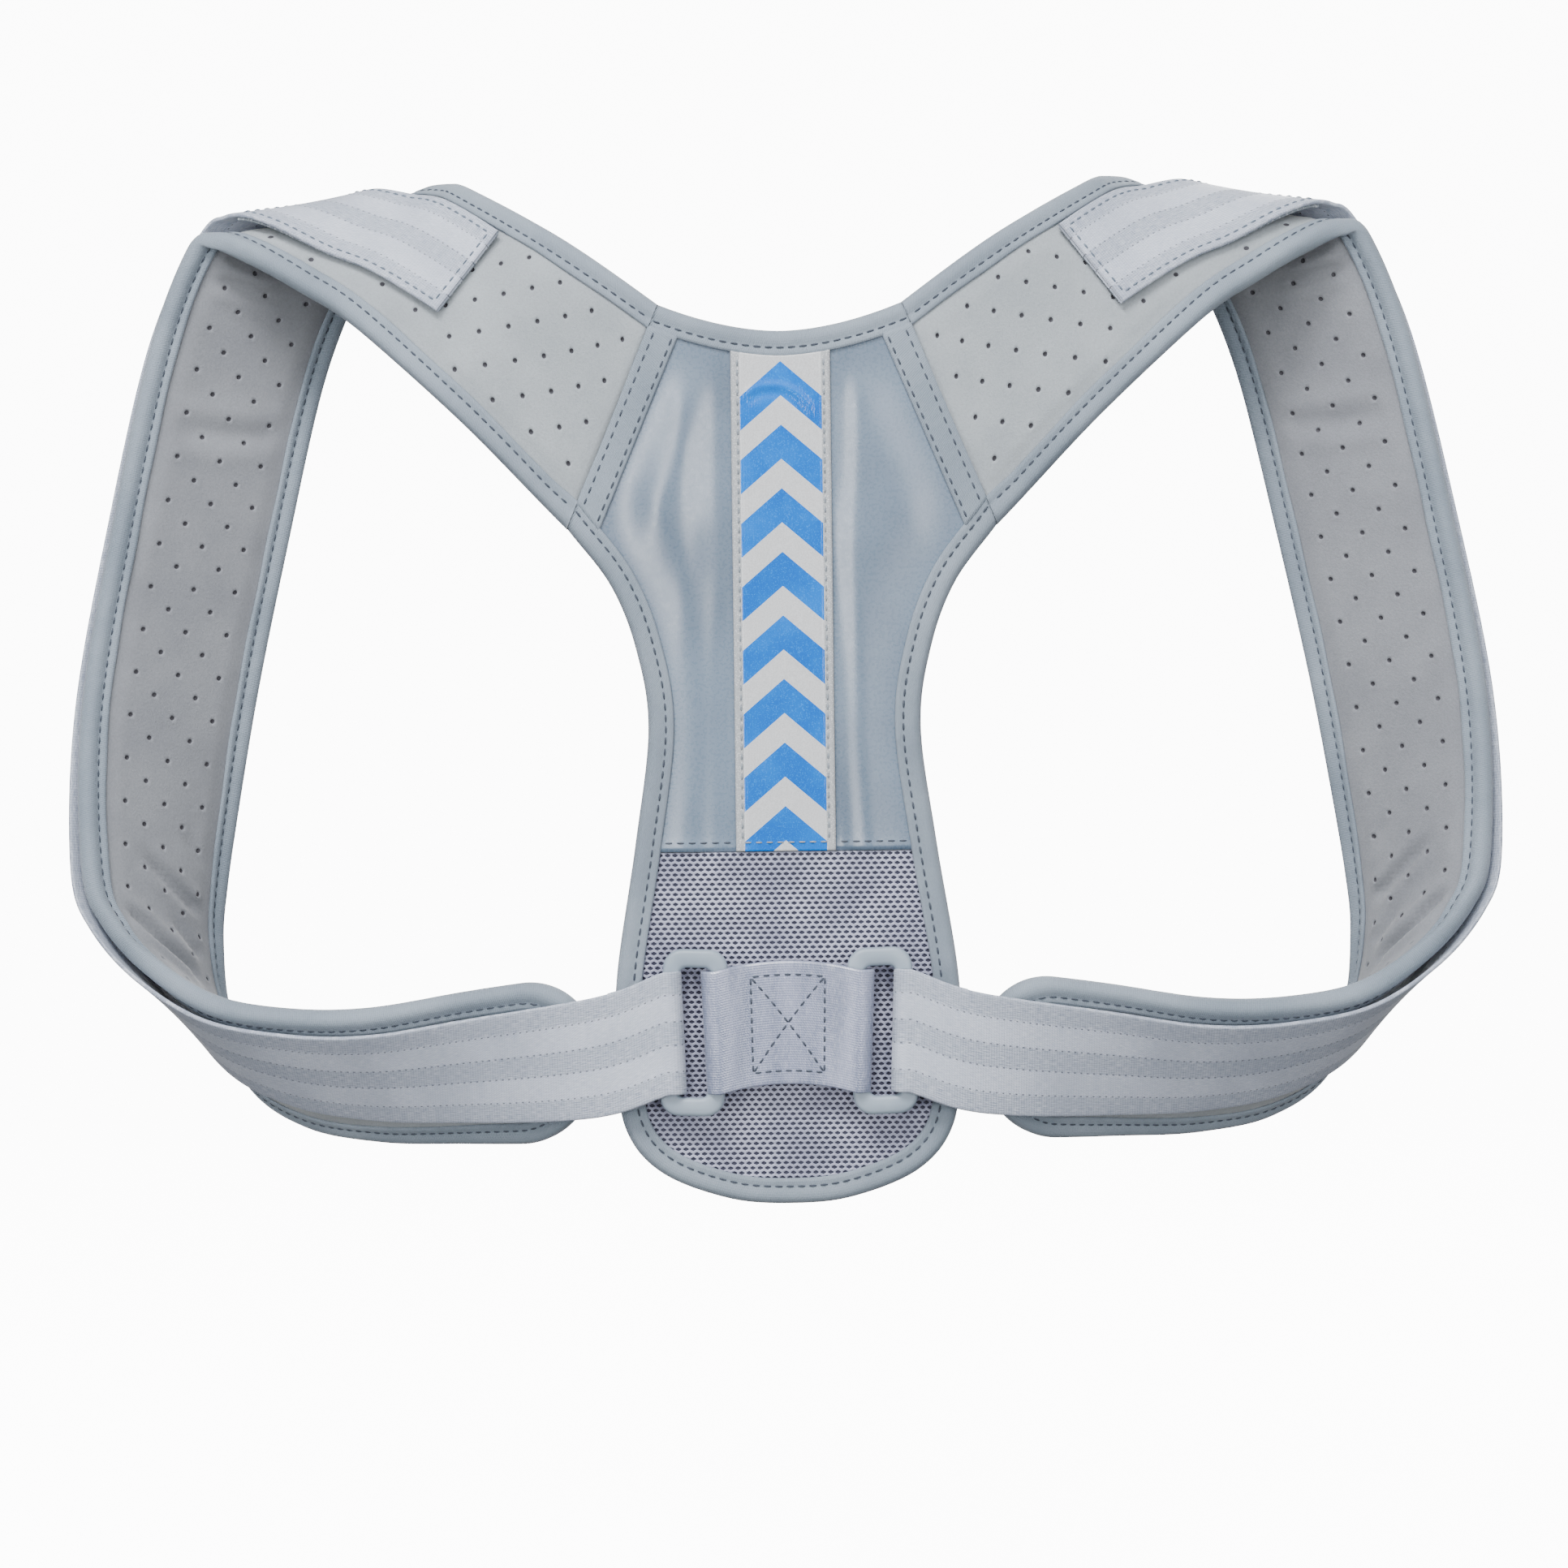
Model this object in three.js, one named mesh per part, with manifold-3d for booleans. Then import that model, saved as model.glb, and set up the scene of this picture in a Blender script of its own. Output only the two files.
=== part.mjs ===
// A posture corrector worn on the back: a padded back panel, two padded shoulder loops and their webbing.
// Millimetres. +X is the wearer's right, +Y goes from the back panel into the wearer, +Z is up.
// The origin is on the panel's body side, in the middle of the back.
import * as THREE from "three";
import { mergeVertices } from "three/addons/utils/BufferGeometryUtils.js";
import Module from "manifold-3d";

const wasm = await Module();
wasm.setup();

// Clearance
const GAP = 0.3;

// Back panel
const PANEL_ABOVE = 97.2;
const PANEL_BELOW = 182.5;
const YOKE_HALF = 66.6;
const SEAM_RISE = 27.5;
const NECK_HALF = 37.5;
const NECK_DIP = 8.4;
const CORE_THICKNESS = 4.0;
const CORE_RIM = 2.6;
const FACING_THICKNESS = 1.0;
const FACING_SPLIT = 72.9;

// Tapes on the panel
const TAPE_WIDTH = 31;
const TAPE_THICKNESS = 1.0;
const SEAM_TAPE_WIDTH = 9.3;

// Folded edge binding
const BINDING_WALL = 0.9;
const BINDING_LIP = 8.0;
const BINDING_PLAY = 0.5;
const RIM_SLOPE = 3.0;

// Shoulder loop: how far it reaches sideways, backwards, up and down from the middle of its seam
const LOOP_REACH = 153.6;
const LOOP_DEPTH = 60;
const LOOP_RISE = 66;
const LOOP_DROP = 191.5;
const STRAP_WIDTH = 62;
const STRAP_THICKNESS = 6.5;
const STRAP_RIM = 3.6;
const TIP_LENGTH = 26;
const TIP_REACH = 59;

// Webbing, its hook patch and the flat loops
const WEB_WIDTH = 38;
const TAB_WIDTH = 32;
const WEB_THICKNESS = 1.5;
const TAIL_LENGTH = 19;
const HOOK_THICKNESS = 1.2;
const HOOK_LENGTH = 64;
const HOOK_MARGIN = 1.5;
const RING_WIDTH = 20;
const RING_HEIGHT = 51.5;
const RING_THICKNESS = 4.0;
const RING_ROUND = 1.6;
const RING_CORNER = 6;
const BAR_WIDTH = 5.2;
const SLOT_PLAY = 1;
const RING_REACH = 29.1;
const RING_LEAN = 2;
const BELT_DROP = 128.5;
const CENTRE_ARCH = 2.9;
const BOX_STITCH_HALF = 11.5;

// Sizes that follow
const BINDING_DEPTH = BINDING_WALL + BINDING_PLAY;
const STRAP_BINDING = STRAP_RIM + 2 * BINDING_DEPTH;
const LIP_BACK = -0.2;
const RIM_BACK = LIP_BACK - BINDING_WALL - GAP;
const CORE_FRONT = RIM_BACK - CORE_RIM;
const FACING_BACK = CORE_FRONT - GAP;
const FACING_FRONT = FACING_BACK - FACING_THICKNESS;
const LIP_FRONT = FACING_FRONT - GAP - BINDING_WALL;
const TAPE_BACK = FACING_FRONT - GAP;
const PANEL_FRONT = Math.min(TAPE_BACK - TAPE_THICKNESS, LIP_FRONT);
const PANEL_MIDDLE = (LIP_FRONT + LIP_BACK) / 2;
const ROLL_INSIDE = BAR_WIDTH / 2 + GAP;
const ROLL_OUTSIDE = ROLL_INSIDE + WEB_THICKNESS;
const RING_Y = PANEL_FRONT - GAP - ROLL_OUTSIDE;
const BAR_OFFSET = (RING_WIDTH - BAR_WIDTH) / 2;
const LEAN = THREE.MathUtils.degToRad(RING_LEAN);

// Lower edge of the panel from the seam to the bottom, left half.
// fall is a share of PANEL_BELOW and half a share of YOKE_HALF.
const LOWER_EDGE = [
  { fall: -0.055, half: 0.804 },
  { fall: 0.055, half: 0.689 },
  { fall: 0.19, half: 0.637 },
  { fall: 0.386, half: 0.704 },
  { fall: 0.607, half: 0.797 },
  { fall: 0.75, half: 0.805 },
  { fall: 0.87, half: 0.765 },
  { fall: 0.945, half: 0.6 },
  { fall: 0.99, half: 0.29 },
];

// The left shoulder loop from its seam on the panel, over the shoulder and back under the arm.
// across, depth and up place the middle of the strap, as shares of LOOP_REACH, LOOP_DEPTH and, above the
// seam, LOOP_RISE or, below it, LOOP_DROP. swing and tilt turn the line across the strap, in degrees, from
// +X towards +Y and up. width is a share of STRAP_WIDTH. lift is how far the webbing stands off the strap's
// surface, as a share of STRAP_THICKNESS, and shift moves it towards the far edge, as a share of WEB_WIDTH.
const LOOP = [
  { across: 0, depth: 0, up: 0, swing: 0, tilt: 67.1, width: 1.24, lift: 0.28, shift: 0.18 },
  { across: 0.2, depth: 0, up: 0.415, swing: 3, tilt: 58, width: 1.05, lift: 0.28, shift: 0.17 },
  { across: 0.4, depth: 0.233, up: 0.785, swing: 16.2, tilt: 45.6, width: 0.96, lift: 0.28, shift: 0.1 },
  { across: 0.49, depth: 0.367, up: 0.915, swing: 21.9, tilt: 33.7, width: 1.01, lift: 0.3, shift: 0 },
  { across: 0.58, depth: 0.483, up: 0.985, swing: 26.5, tilt: 20.5, width: 1.05, lift: 0.6, shift: -0.08 },
  { across: 0.66, depth: 0.575, up: 0.95, swing: 29.4, tilt: 5.8, width: 1.02, lift: 0.75, shift: -0.15 },
  { across: 0.717, depth: 0.625, up: 0.815, swing: 30.6, tilt: -5, width: 0.98, lift: 0.5, shift: -0.2 },
  { across: 0.799, depth: 0.65, up: 0.34, swing: 30.1, tilt: -7.5, width: 0.96, lift: 0.24, shift: -0.26 },
  { across: 0.88, depth: 0.633, up: -0.168, swing: 28.3, tilt: -2.9, width: 0.95, lift: 0.2, shift: -0.28 },
  { across: 0.954, depth: 0.642, up: -0.469, swing: 32.9, tilt: -4.5, width: 0.94, lift: 0.2, shift: -0.28 },
  { across: 0.986, depth: 0.667, up: -0.737, swing: 48, tilt: -6.4, width: 0.92, lift: 0.3, shift: -0.28 },
  { across: 0.973, depth: 0.692, up: -0.845, swing: 60, tilt: -11.8, width: 0.91, lift: 0.45, shift: -0.28 },
  { across: 0.924, depth: 0.733, up: -0.94, swing: 74, tilt: -20.7, width: 0.93, lift: 0.6, shift: -0.27 },
  { across: 0.822, depth: 0.675, up: -1.028, swing: 82, tilt: -32.6, width: 0.96, lift: 0.6, shift: -0.23 },
  { across: 0.681, depth: 0.533, up: -1.067, swing: 88, tilt: -42.1, width: 0.96, lift: 0.5, shift: -0.18 },
  { across: 0.52, depth: 0.392, up: -1.075, swing: 91, tilt: -49, width: 0.94, lift: 0.42, shift: -0.13 },
  { across: 0.341, depth: 0.24, up: -1.062, swing: 92, tilt: -60, width: 0.91, lift: 0.4, shift: -0.08 },
  { across: 0.041, depth: -0.03, up: -1.035, swing: 85, tilt: -81, width: 0.86, lift: 0.45, shift: -0.02 },
];
const WEB_START = 1.48;
const TAB_END = 4;
const STEPS = 3;

// Colours and finishes
const FINISHES = {
  pad_fabric: { color: 0xafacaa, roughness: 0.95, metalness: 0 },
  core_fabric: { color: 0xa9a8a8, roughness: 0.95, metalness: 0 },
  binding_tape: { color: 0x8c969e, roughness: 0.8, metalness: 0 },
  leatherette: { color: 0x96a3af, roughness: 0.35, metalness: 0 },
  mesh_fabric: { color: 0x9a98a6, roughness: 0.9, metalness: 0 },
  chevron_print: { color: 0x0082e1, roughness: 0.5, metalness: 0 },
  webbing: { color: 0xafb4bc, roughness: 0.6, metalness: 0 },
  hook_tape: { color: 0x9ba2a8, roughness: 0.9, metalness: 0 },
  loop_plastic: { color: 0x969ea5, roughness: 0.45, metalness: 0 },
};

const vector = (x, y, z) => new THREE.Vector3(x, y, z);

// A smooth curve through a list of values, read at a place counted in list steps.
function smooth(values, place) {
  const last = values.length - 1;
  const index = Math.min(Math.max(Math.floor(place), 0), last - 1);
  const t = place - index;
  const b = values[index];
  const c = values[index + 1];
  const a = index > 0 ? values[index - 1] : 2 * b - c;
  const d = index + 2 <= last ? values[index + 2] : 2 * c - b;
  return b + 0.5 * t * (c - a + t * (2 * a - 5 * b + 4 * c - d + t * (3 * (b - c) + d - a)));
}

function signedVolume(triangles) {
  const cross = vector(0, 0, 0);
  return triangles.reduce((sum, [a, b, c]) => sum + a.dot(cross.crossVectors(b, c)) / 6, 0);
}

// One closed geometry from triangles of points, turned so that its faces point out.
function closedGeometry(triangles) {
  const kept = triangles.filter(([a, b, c]) => {
    return a.distanceTo(b) > 1e-3 && b.distanceTo(c) > 1e-3 && c.distanceTo(a) > 1e-3;
  });
  const order = signedVolume(kept) < 0 ? [0, 2, 1] : [0, 1, 2];
  const positions = kept.flatMap((corners) => order.flatMap((i) => corners[i].toArray()));
  const geometry = new THREE.BufferGeometry();
  geometry.setAttribute("position", new THREE.Float32BufferAttribute(positions, 3));
  geometry.computeVertexNormals();
  return geometry;
}

// The faces that close a ring whose second half runs back beside its first half
function ladder(count) {
  const quads = Array.from({ length: count / 2 - 1 }, (_, j) => [j, j + 1, count - 2 - j, count - 1 - j]);
  return quads.flatMap(([a, b, c, d]) => [
    [a, b, c],
    [a, c, d],
  ]);
}

// The faces that close a ring of any other flat outline
function flatFaces(outline) {
  const faces = THREE.ShapeUtils.triangulateShape(outline, []);
  return THREE.ShapeUtils.isClockWise(outline) ? faces.map(([a, b, c]) => [a, c, b]) : faces;
}

// Joins a row of equal rings of points and closes its ends with the given faces.
function loft(rings, faces, { closeEnd = true } = {}) {
  const triangles = [];
  const count = rings[0].length;
  for (let i = 0; i + 1 < rings.length; i++) {
    for (let j = 0; j < count; j++) {
      const k = (j + 1) % count;
      triangles.push([rings[i][j], rings[i + 1][j], rings[i + 1][k]]);
      triangles.push([rings[i][j], rings[i + 1][k], rings[i][k]]);
    }
  }
  const first = rings[0];
  const last = rings[rings.length - 1];
  faces.forEach(([a, b, c]) => triangles.push([first[a], first[b], first[c]]));
  if (closeEnd) faces.forEach(([a, b, c]) => triangles.push([last[a], last[c], last[b]]));
  return closedGeometry(triangles);
}

function toSolid(geometry) {
  const bare = geometry.clone();
  bare.deleteAttribute("normal");
  bare.deleteAttribute("uv");
  const merged = mergeVertices(bare, 1e-4);
  return new wasm.Manifold(
    new wasm.Mesh({
      numProp: 3,
      vertProperties: merged.attributes.position.array,
      triVerts: new Uint32Array(merged.index.array),
    }),
  );
}

function fromSolid(solid) {
  const { vertProperties, triVerts } = solid.getMesh();
  const geometry = new THREE.BufferGeometry();
  geometry.setAttribute("position", new THREE.BufferAttribute(vertProperties, 3));
  geometry.setIndex(new THREE.BufferAttribute(triVerts, 1));
  return geometry;
}

// Half of the panel's edges, in the plane of the panel, for x below zero

const SEAM_LOW = new THREE.Vector2(-YOKE_HALF, SEAM_RISE);
const SEAM_HIGH = new THREE.Vector2(-NECK_HALF, PANEL_ABOVE);

function lowerEdge() {
  const rows = LOWER_EDGE.map(({ fall, half }) => [-half * YOKE_HALF, -fall * PANEL_BELOW]);
  const left = [[SEAM_LOW.x, SEAM_LOW.y], ...rows, [0, -PANEL_BELOW]];
  const all = [...left, ...rows.reverse().map(([x, z]) => [-x, z]), [-SEAM_LOW.x, SEAM_LOW.y]];
  const xs = all.map(([x]) => x);
  const zs = all.map(([, z]) => z);
  return Array.from({ length: 2 * all.length - 1 }, (_, i) => {
    return new THREE.Vector2(smooth(xs, i / 2), smooth(zs, i / 2));
  });
}

function neckEdge() {
  const count = 8;
  return Array.from({ length: count + 1 }, (_, i) => {
    const share = 1 - (2 * i) / count;
    const dip = NECK_DIP * (1 - Math.abs(share) ** 1.8);
    return new THREE.Vector2(share * NECK_HALF, PANEL_ABOVE - dip);
  });
}

// The panel's outline, anticlockwise, moved inwards by one distance at its bound edges and another at
// its seams.
function panelOutline(bound, seam) {
  const lower = lowerEdge();
  const neck = neckEdge();
  const points = [...lower, ...neck];
  const distances = points.map((_, i) => (i === lower.length - 1 || i === points.length - 1 ? seam : bound));
  const normals = points.map((point, i) => {
    const along = points[(i + 1) % points.length].clone().sub(point).normalize();
    return new THREE.Vector2(-along.y, along.x);
  });
  return points.map((point, i) => {
    const before = (i + points.length - 1) % points.length;
    const [n1, n2, d1, d2] = [normals[before], normals[i], distances[before], distances[i]];
    const det = n1.cross(n2);
    if (d1 === d2) return point.clone().addScaledVector(n1.clone().add(n2), d1 / (1 + n1.dot(n2)));
    return new THREE.Vector2(point.x + (d1 * n2.y - d2 * n1.y) / det, point.y + (d2 * n1.x - d1 * n2.x) / det);
  });
}

// Panel pieces: rings of the outline at their own places in Y
function stack(levels) {
  const rings = levels.map(([bound, seam, y]) => panelOutline(bound, seam).map((p) => vector(p.x, y, p.y)));
  return loft(rings, flatFaces(panelOutline(levels[0][0], levels[0][1])));
}

function backPad() {
  const step = BINDING_LIP + GAP;
  return stack([
    [BINDING_DEPTH, 0, CORE_FRONT],
    [BINDING_DEPTH, 0, RIM_BACK],
    [step, 0, RIM_BACK],
    [step + 1, 0, RIM_BACK + CORE_THICKNESS - CORE_RIM],
  ]);
}

function facing(fromZ, toZ) {
  const sheet = toSolid(
    stack([
      [BINDING_DEPTH, 0, FACING_FRONT],
      [BINDING_DEPTH, 0, FACING_BACK],
    ]),
  );
  const keep = new THREE.BoxGeometry(4 * YOKE_HALF, 4 * CORE_THICKNESS, toZ - fromZ);
  keep.translate(0, FACING_FRONT, (fromZ + toZ) / 2);
  return fromSolid(sheet.intersect(toSolid(keep)));
}

function chevronTape() {
  const top = PANEL_ABOVE - NECK_DIP - BINDING_LIP - GAP;
  const bottom = -FACING_SPLIT;
  const tape = new THREE.BoxGeometry(TAPE_WIDTH, TAPE_THICKNESS, top - bottom);
  return tape.translate(0, TAPE_BACK - TAPE_THICKNESS / 2, (top + bottom) / 2);
}

function seamTape() {
  const lip = BINDING_LIP + GAP;
  const ends = (seam) => {
    const outline = panelOutline(lip, seam);
    return [outline[outline.length - 1], outline[0]];
  };
  const [highOut, lowOut] = ends(GAP);
  const [highIn, lowIn] = ends(SEAM_TAPE_WIDTH);
  const quad = [highOut, lowOut, lowIn, highIn];
  const rings = [TAPE_BACK - TAPE_THICKNESS, TAPE_BACK].map((y) => quad.map((p) => vector(p.x, y, p.y)));
  return loft(rings, ladder(quad.length));
}

// The folded binding in section: inset from the edge, and height either side of the middle.
function channel(depth) {
  const half = depth / 2;
  const inside = half - BINDING_WALL;
  const outside = [
    new THREE.Vector2(BINDING_LIP, -half),
    new THREE.Vector2(0, -half),
    new THREE.Vector2(0, half),
    new THREE.Vector2(BINDING_LIP, half),
  ];
  const lining = [
    new THREE.Vector2(BINDING_LIP, inside),
    new THREE.Vector2(BINDING_WALL, inside),
    new THREE.Vector2(BINDING_WALL, -inside),
    new THREE.Vector2(BINDING_LIP, -inside),
  ];
  return [...outside, ...lining];
}

// The binding along one bound stretch of the panel's outline.
function panelBinding(first, count) {
  const depth = 2 * (PANEL_MIDDLE - LIP_FRONT);
  const section = channel(depth);
  const insets = new Map(section.map(({ x }) => [x, panelOutline(x, GAP / 2)]));
  const rings = Array.from({ length: count }, (_, i) =>
    section.map(({ x, y }) => {
      const point = insets.get(x)[first + i];
      return vector(point.x, PANEL_MIDDLE + y, point.y);
    }),
  );
  return loft(rings, ladder(section.length));
}

// The shoulder loop as a surface: along is the distance from the seam, across from the near to the far edge.

const SEAM_MIDDLE = SEAM_LOW.clone().add(SEAM_HIGH).divideScalar(2);
const SEAM_OUT = new THREE.Vector2(SEAM_LOW.y - SEAM_HIGH.y, SEAM_HIGH.x - SEAM_LOW.x).normalize();
const SEAM_START = SEAM_MIDDLE.clone().addScaledVector(SEAM_OUT, GAP);

const ROW_MIDDLES = [
  ...LOOP.map(({ across, depth, up }) =>
    vector(
      SEAM_START.x - across * LOOP_REACH,
      PANEL_MIDDLE + depth * LOOP_DEPTH,
      SEAM_START.y + up * (up > 0 ? LOOP_RISE : LOOP_DROP),
    ),
  ),
  vector(-RING_REACH - BAR_OFFSET, RING_Y, -BELT_DROP),
];
const LAST = ROW_MIDDLES.length - 1;

function rowDirection({ swing, tilt }) {
  const turn = THREE.MathUtils.degToRad(swing);
  const up = THREE.MathUtils.degToRad(tilt);
  return vector(Math.cos(up) * Math.cos(turn), Math.cos(up) * Math.sin(turn), Math.sin(up));
}

const SEAM_LINE = SEAM_HIGH.clone().sub(SEAM_LOW).normalize();
const ROW_DIRECTIONS = [
  vector(SEAM_LINE.x, 0, SEAM_LINE.y),
  ...LOOP.slice(1).map(rowDirection),
  vector(Math.sin(LEAN), 0, -Math.cos(LEAN)),
];

const column = (name, atRing) => [...LOOP.map((row) => row[name]), atRing];
const WIDTHS = column("width", LOOP[LOOP.length - 1].width).map((share) => share * STRAP_WIDTH);
WIDTHS[0] = SEAM_HIGH.distanceTo(SEAM_LOW);
const LIFTS = [
  ...LOOP.map(({ lift }) => STRAP_THICKNESS / 2 + lift * STRAP_THICKNESS),
  ROLL_INSIDE,
];
const SHIFTS = column("shift", 0).map((share) => share * WEB_WIDTH);

const smoothVector = (list, place) =>
  vector(...["x", "y", "z"].map((axis) => smooth(list.map((v) => v[axis]), place)));

// The frame of the loop at a place counted in rows of the table.
function frameAt(place) {
  const step = 1e-3;
  const from = Math.max(place - step, 0);
  const to = Math.min(place + step, LAST);
  const middle = smoothVector(ROW_MIDDLES, place);
  const forward = smoothVector(ROW_MIDDLES, to).sub(smoothVector(ROW_MIDDLES, from)).normalize();
  const across = smoothVector(ROW_DIRECTIONS, place).normalize();
  const out = across.clone().cross(forward).normalize();
  return { middle, forward, across, out };
}

// Distances along the middle of the loop, and the way back from a distance to a place in the table
const FINE = 24;
const TRAVEL = [0];
for (let i = 1; i <= LAST * FINE; i++) {
  const piece = smoothVector(ROW_MIDDLES, i / FINE).distanceTo(smoothVector(ROW_MIDDLES, (i - 1) / FINE));
  TRAVEL.push(TRAVEL[i - 1] + piece);
}

function placeAt(travel) {
  const index = Math.max(TRAVEL.findIndex((value) => value > travel) - 1, 0);
  const clipped = Math.min(index, TRAVEL.length - 2);
  return (clipped + (travel - TRAVEL[clipped]) / (TRAVEL[clipped + 1] - TRAVEL[clipped])) / FINE;
}

function travelAt(place) {
  const index = Math.min(Math.floor(place * FINE), TRAVEL.length - 2);
  return TRAVEL[index] + (place * FINE - index) * (TRAVEL[index + 1] - TRAVEL[index]);
}

function onLoop(travel, side, height) {
  const frame = frameAt(placeAt(travel));
  return frame.middle.addScaledVector(frame.across, side).addScaledVector(frame.out, height);
}

// The pad's round tip ends under the webbing, short of the panel.
const tipPassed = (_, index) => {
  return index > FINE * (LAST - 4) && smoothVector(ROW_MIDDLES, index / FINE).x > -TIP_REACH;
};
const TIP = TRAVEL[TRAVEL.findIndex(tipPassed)];

// Stations along the pad: even steps between the table's rows, then closer ones round the tip
function padStations() {
  const start = TIP - TIP_LENGTH;
  const evenly = Array.from({ length: LAST * STEPS }, (_, i) => travelAt(i / STEPS));
  const straight = evenly.filter((travel) => travel < start - 2);
  const bends = [0, 18, 36, 54, 72, 90].map((angle) => THREE.MathUtils.degToRad(angle));
  return [
    ...straight.map((travel) => ({ travel, share: 1 })),
    ...bends.map((bend) => ({ travel: start + TIP_LENGTH * Math.sin(bend), share: Math.cos(bend) })),
  ];
}

const STATIONS = padStations().map(({ travel, share }) => {
  return { travel, half: Math.max((share * smooth(WIDTHS, placeAt(travel))) / 2, 0) };
});
STATIONS[STATIONS.length - 1].half = 0;

// The pad's edge at a station, moved inwards square to the edge.
function insetStation(index, inset) {
  const { travel, half } = STATIONS[index];
  if (index === 0) return { travel, half: half - inset };
  if (index === STATIONS.length - 1) return { travel: travel - inset, half: 0 };
  const before = STATIONS[index - 1];
  const after = STATIONS[index + 1];
  const run = after.travel - before.travel;
  const fall = before.half - after.half;
  const length = Math.hypot(run, fall);
  return { travel: travel - (inset * fall) / length, half: Math.max(half - (inset * run) / length, 0) };
}

function loopPoint(index, { inset, height, across }) {
  const { travel, half } = insetStation(index, inset);
  return onLoop(travel, half * across, height);
}

function strapPad() {
  const rim = STRAP_RIM / 2;
  const full = STRAP_THICKNESS / 2;
  const lip = BINDING_LIP + GAP;
  const slope = lip + RIM_SLOPE;
  const edge = (across) => [
    { inset: BINDING_DEPTH, height: rim, across },
    { inset: lip, height: rim, across },
    { inset: slope, height: full, across },
  ];
  const middle = { inset: slope, height: full, across: 0 };
  const outer = [...edge(-1), middle, ...edge(1).reverse()];
  const inner = outer.map((point) => ({ ...point, height: -point.height })).reverse();
  const section = [...outer, ...inner];
  const rings = STATIONS.map((_, i) => section.map((point) => loopPoint(i, point)));
  return loft(rings, ladder(section.length), { closeEnd: false });
}

function strapBinding() {
  const section = channel(STRAP_BINDING);
  const side = (across) => (_, i) => section.map(({ x, y }) => loopPoint(i, { inset: x, height: y, across }));
  const near = STATIONS.map(side(-1));
  const far = STATIONS.map(side(1)).reverse().slice(1);
  return loft([...near, ...far], ladder(section.length));
}

// Webbing

// A flat strip in section, with points across it so that it can twist
function stripSection(width, thickness) {
  const shares = [-0.5, 0, 0.5];
  return [
    ...shares.map((share) => new THREE.Vector2(share * width, thickness / 2)),
    ...shares.reverse().map((share) => new THREE.Vector2(share * width, -thickness / 2)),
  ];
}

function webFrame(place) {
  const { middle, forward, across, out } = frameAt(place);
  const square = across.clone().cross(forward).normalize();
  const height = smooth(LIFTS, place) + WEB_THICKNESS / 2;
  middle.addScaledVector(across, smooth(SHIFTS, place)).addScaledVector(out, height);
  const tab = THREE.MathUtils.clamp((place - WEB_START) / (TAB_END - WEB_START), 0, 1);
  return { middle, across, out: square, width: THREE.MathUtils.lerp(TAB_WIDTH, WEB_WIDTH, tab) };
}

// A strip along a row of frames. Its edges lie inside those of the webbing by the margin.
function strip(frames, margin, thickness) {
  const rings = frames.map(({ middle, across, out, width }) =>
    stripSection(width - 2 * margin, thickness).map(({ x, y }) =>
      middle.clone().addScaledVector(across, x).addScaledVector(out, y),
    ),
  );
  return loft(rings, ladder(rings[0].length));
}

// Places from one to another that stop at every even step of the table between them
function evenPlaces(from, to) {
  const between = Array.from({ length: LAST * STEPS }, (_, i) => i / STEPS);
  return [from, ...between.filter((place) => place > from + 0.1 && place < to - 0.1), to];
}

function sideWebbing() {
  const places = evenPlaces(WEB_START, LAST);
  const led = places.map(webFrame);
  const end = led[led.length - 1];
  const bar = end.middle.clone().addScaledVector(end.out, -(ROLL_INSIDE + WEB_THICKNESS / 2));
  const roll = Array.from({ length: 8 }, (_, i) => {
    const angle = -((i + 1) * Math.PI) / 8;
    const out = end.out.clone().applyAxisAngle(end.across, angle);
    const middle = bar.clone().addScaledVector(out, ROLL_INSIDE + WEB_THICKNESS / 2);
    return { middle, across: end.across, out, width: WEB_WIDTH };
  });
  const full = travelAt(LAST);
  const tail = [0.2, 0.4, 0.6, 0.8, 1].map((share) => {
    const front = webFrame(placeAt(full - share * TAIL_LENGTH));
    const closing = Math.min(share / 0.6, 1);
    const ease = closing * closing * (3 - 2 * closing);
    const apart = THREE.MathUtils.lerp(2 * ROLL_INSIDE + WEB_THICKNESS, WEB_THICKNESS + GAP, ease);
    front.middle.addScaledVector(front.out, -apart);
    front.out.negate();
    return front;
  });
  return strip([...led, ...roll, ...tail], 0, WEB_THICKNESS);
}

function hookPatch() {
  const start = travelAt(WEB_START) + HOOK_MARGIN;
  const frames = evenPlaces(placeAt(start), placeAt(start + HOOK_LENGTH)).map((place) => {
    const frame = webFrame(place);
    frame.middle.addScaledVector(frame.out, -(WEB_THICKNESS / 2 + GAP + HOOK_THICKNESS / 2));
    return frame;
  });
  return strip(frames, HOOK_MARGIN, HOOK_THICKNESS);
}

// Flat loops

function roundedRectangle(target, width, height, corner) {
  const x = width / 2 - corner;
  const y = height / 2 - corner;
  target.absarc(x, -y, corner, -Math.PI / 2, 0);
  target.absarc(x, y, corner, 0, Math.PI / 2);
  target.absarc(-x, y, corner, Math.PI / 2, Math.PI);
  target.absarc(-x, -y, corner, Math.PI, 1.5 * Math.PI);
}

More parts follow.
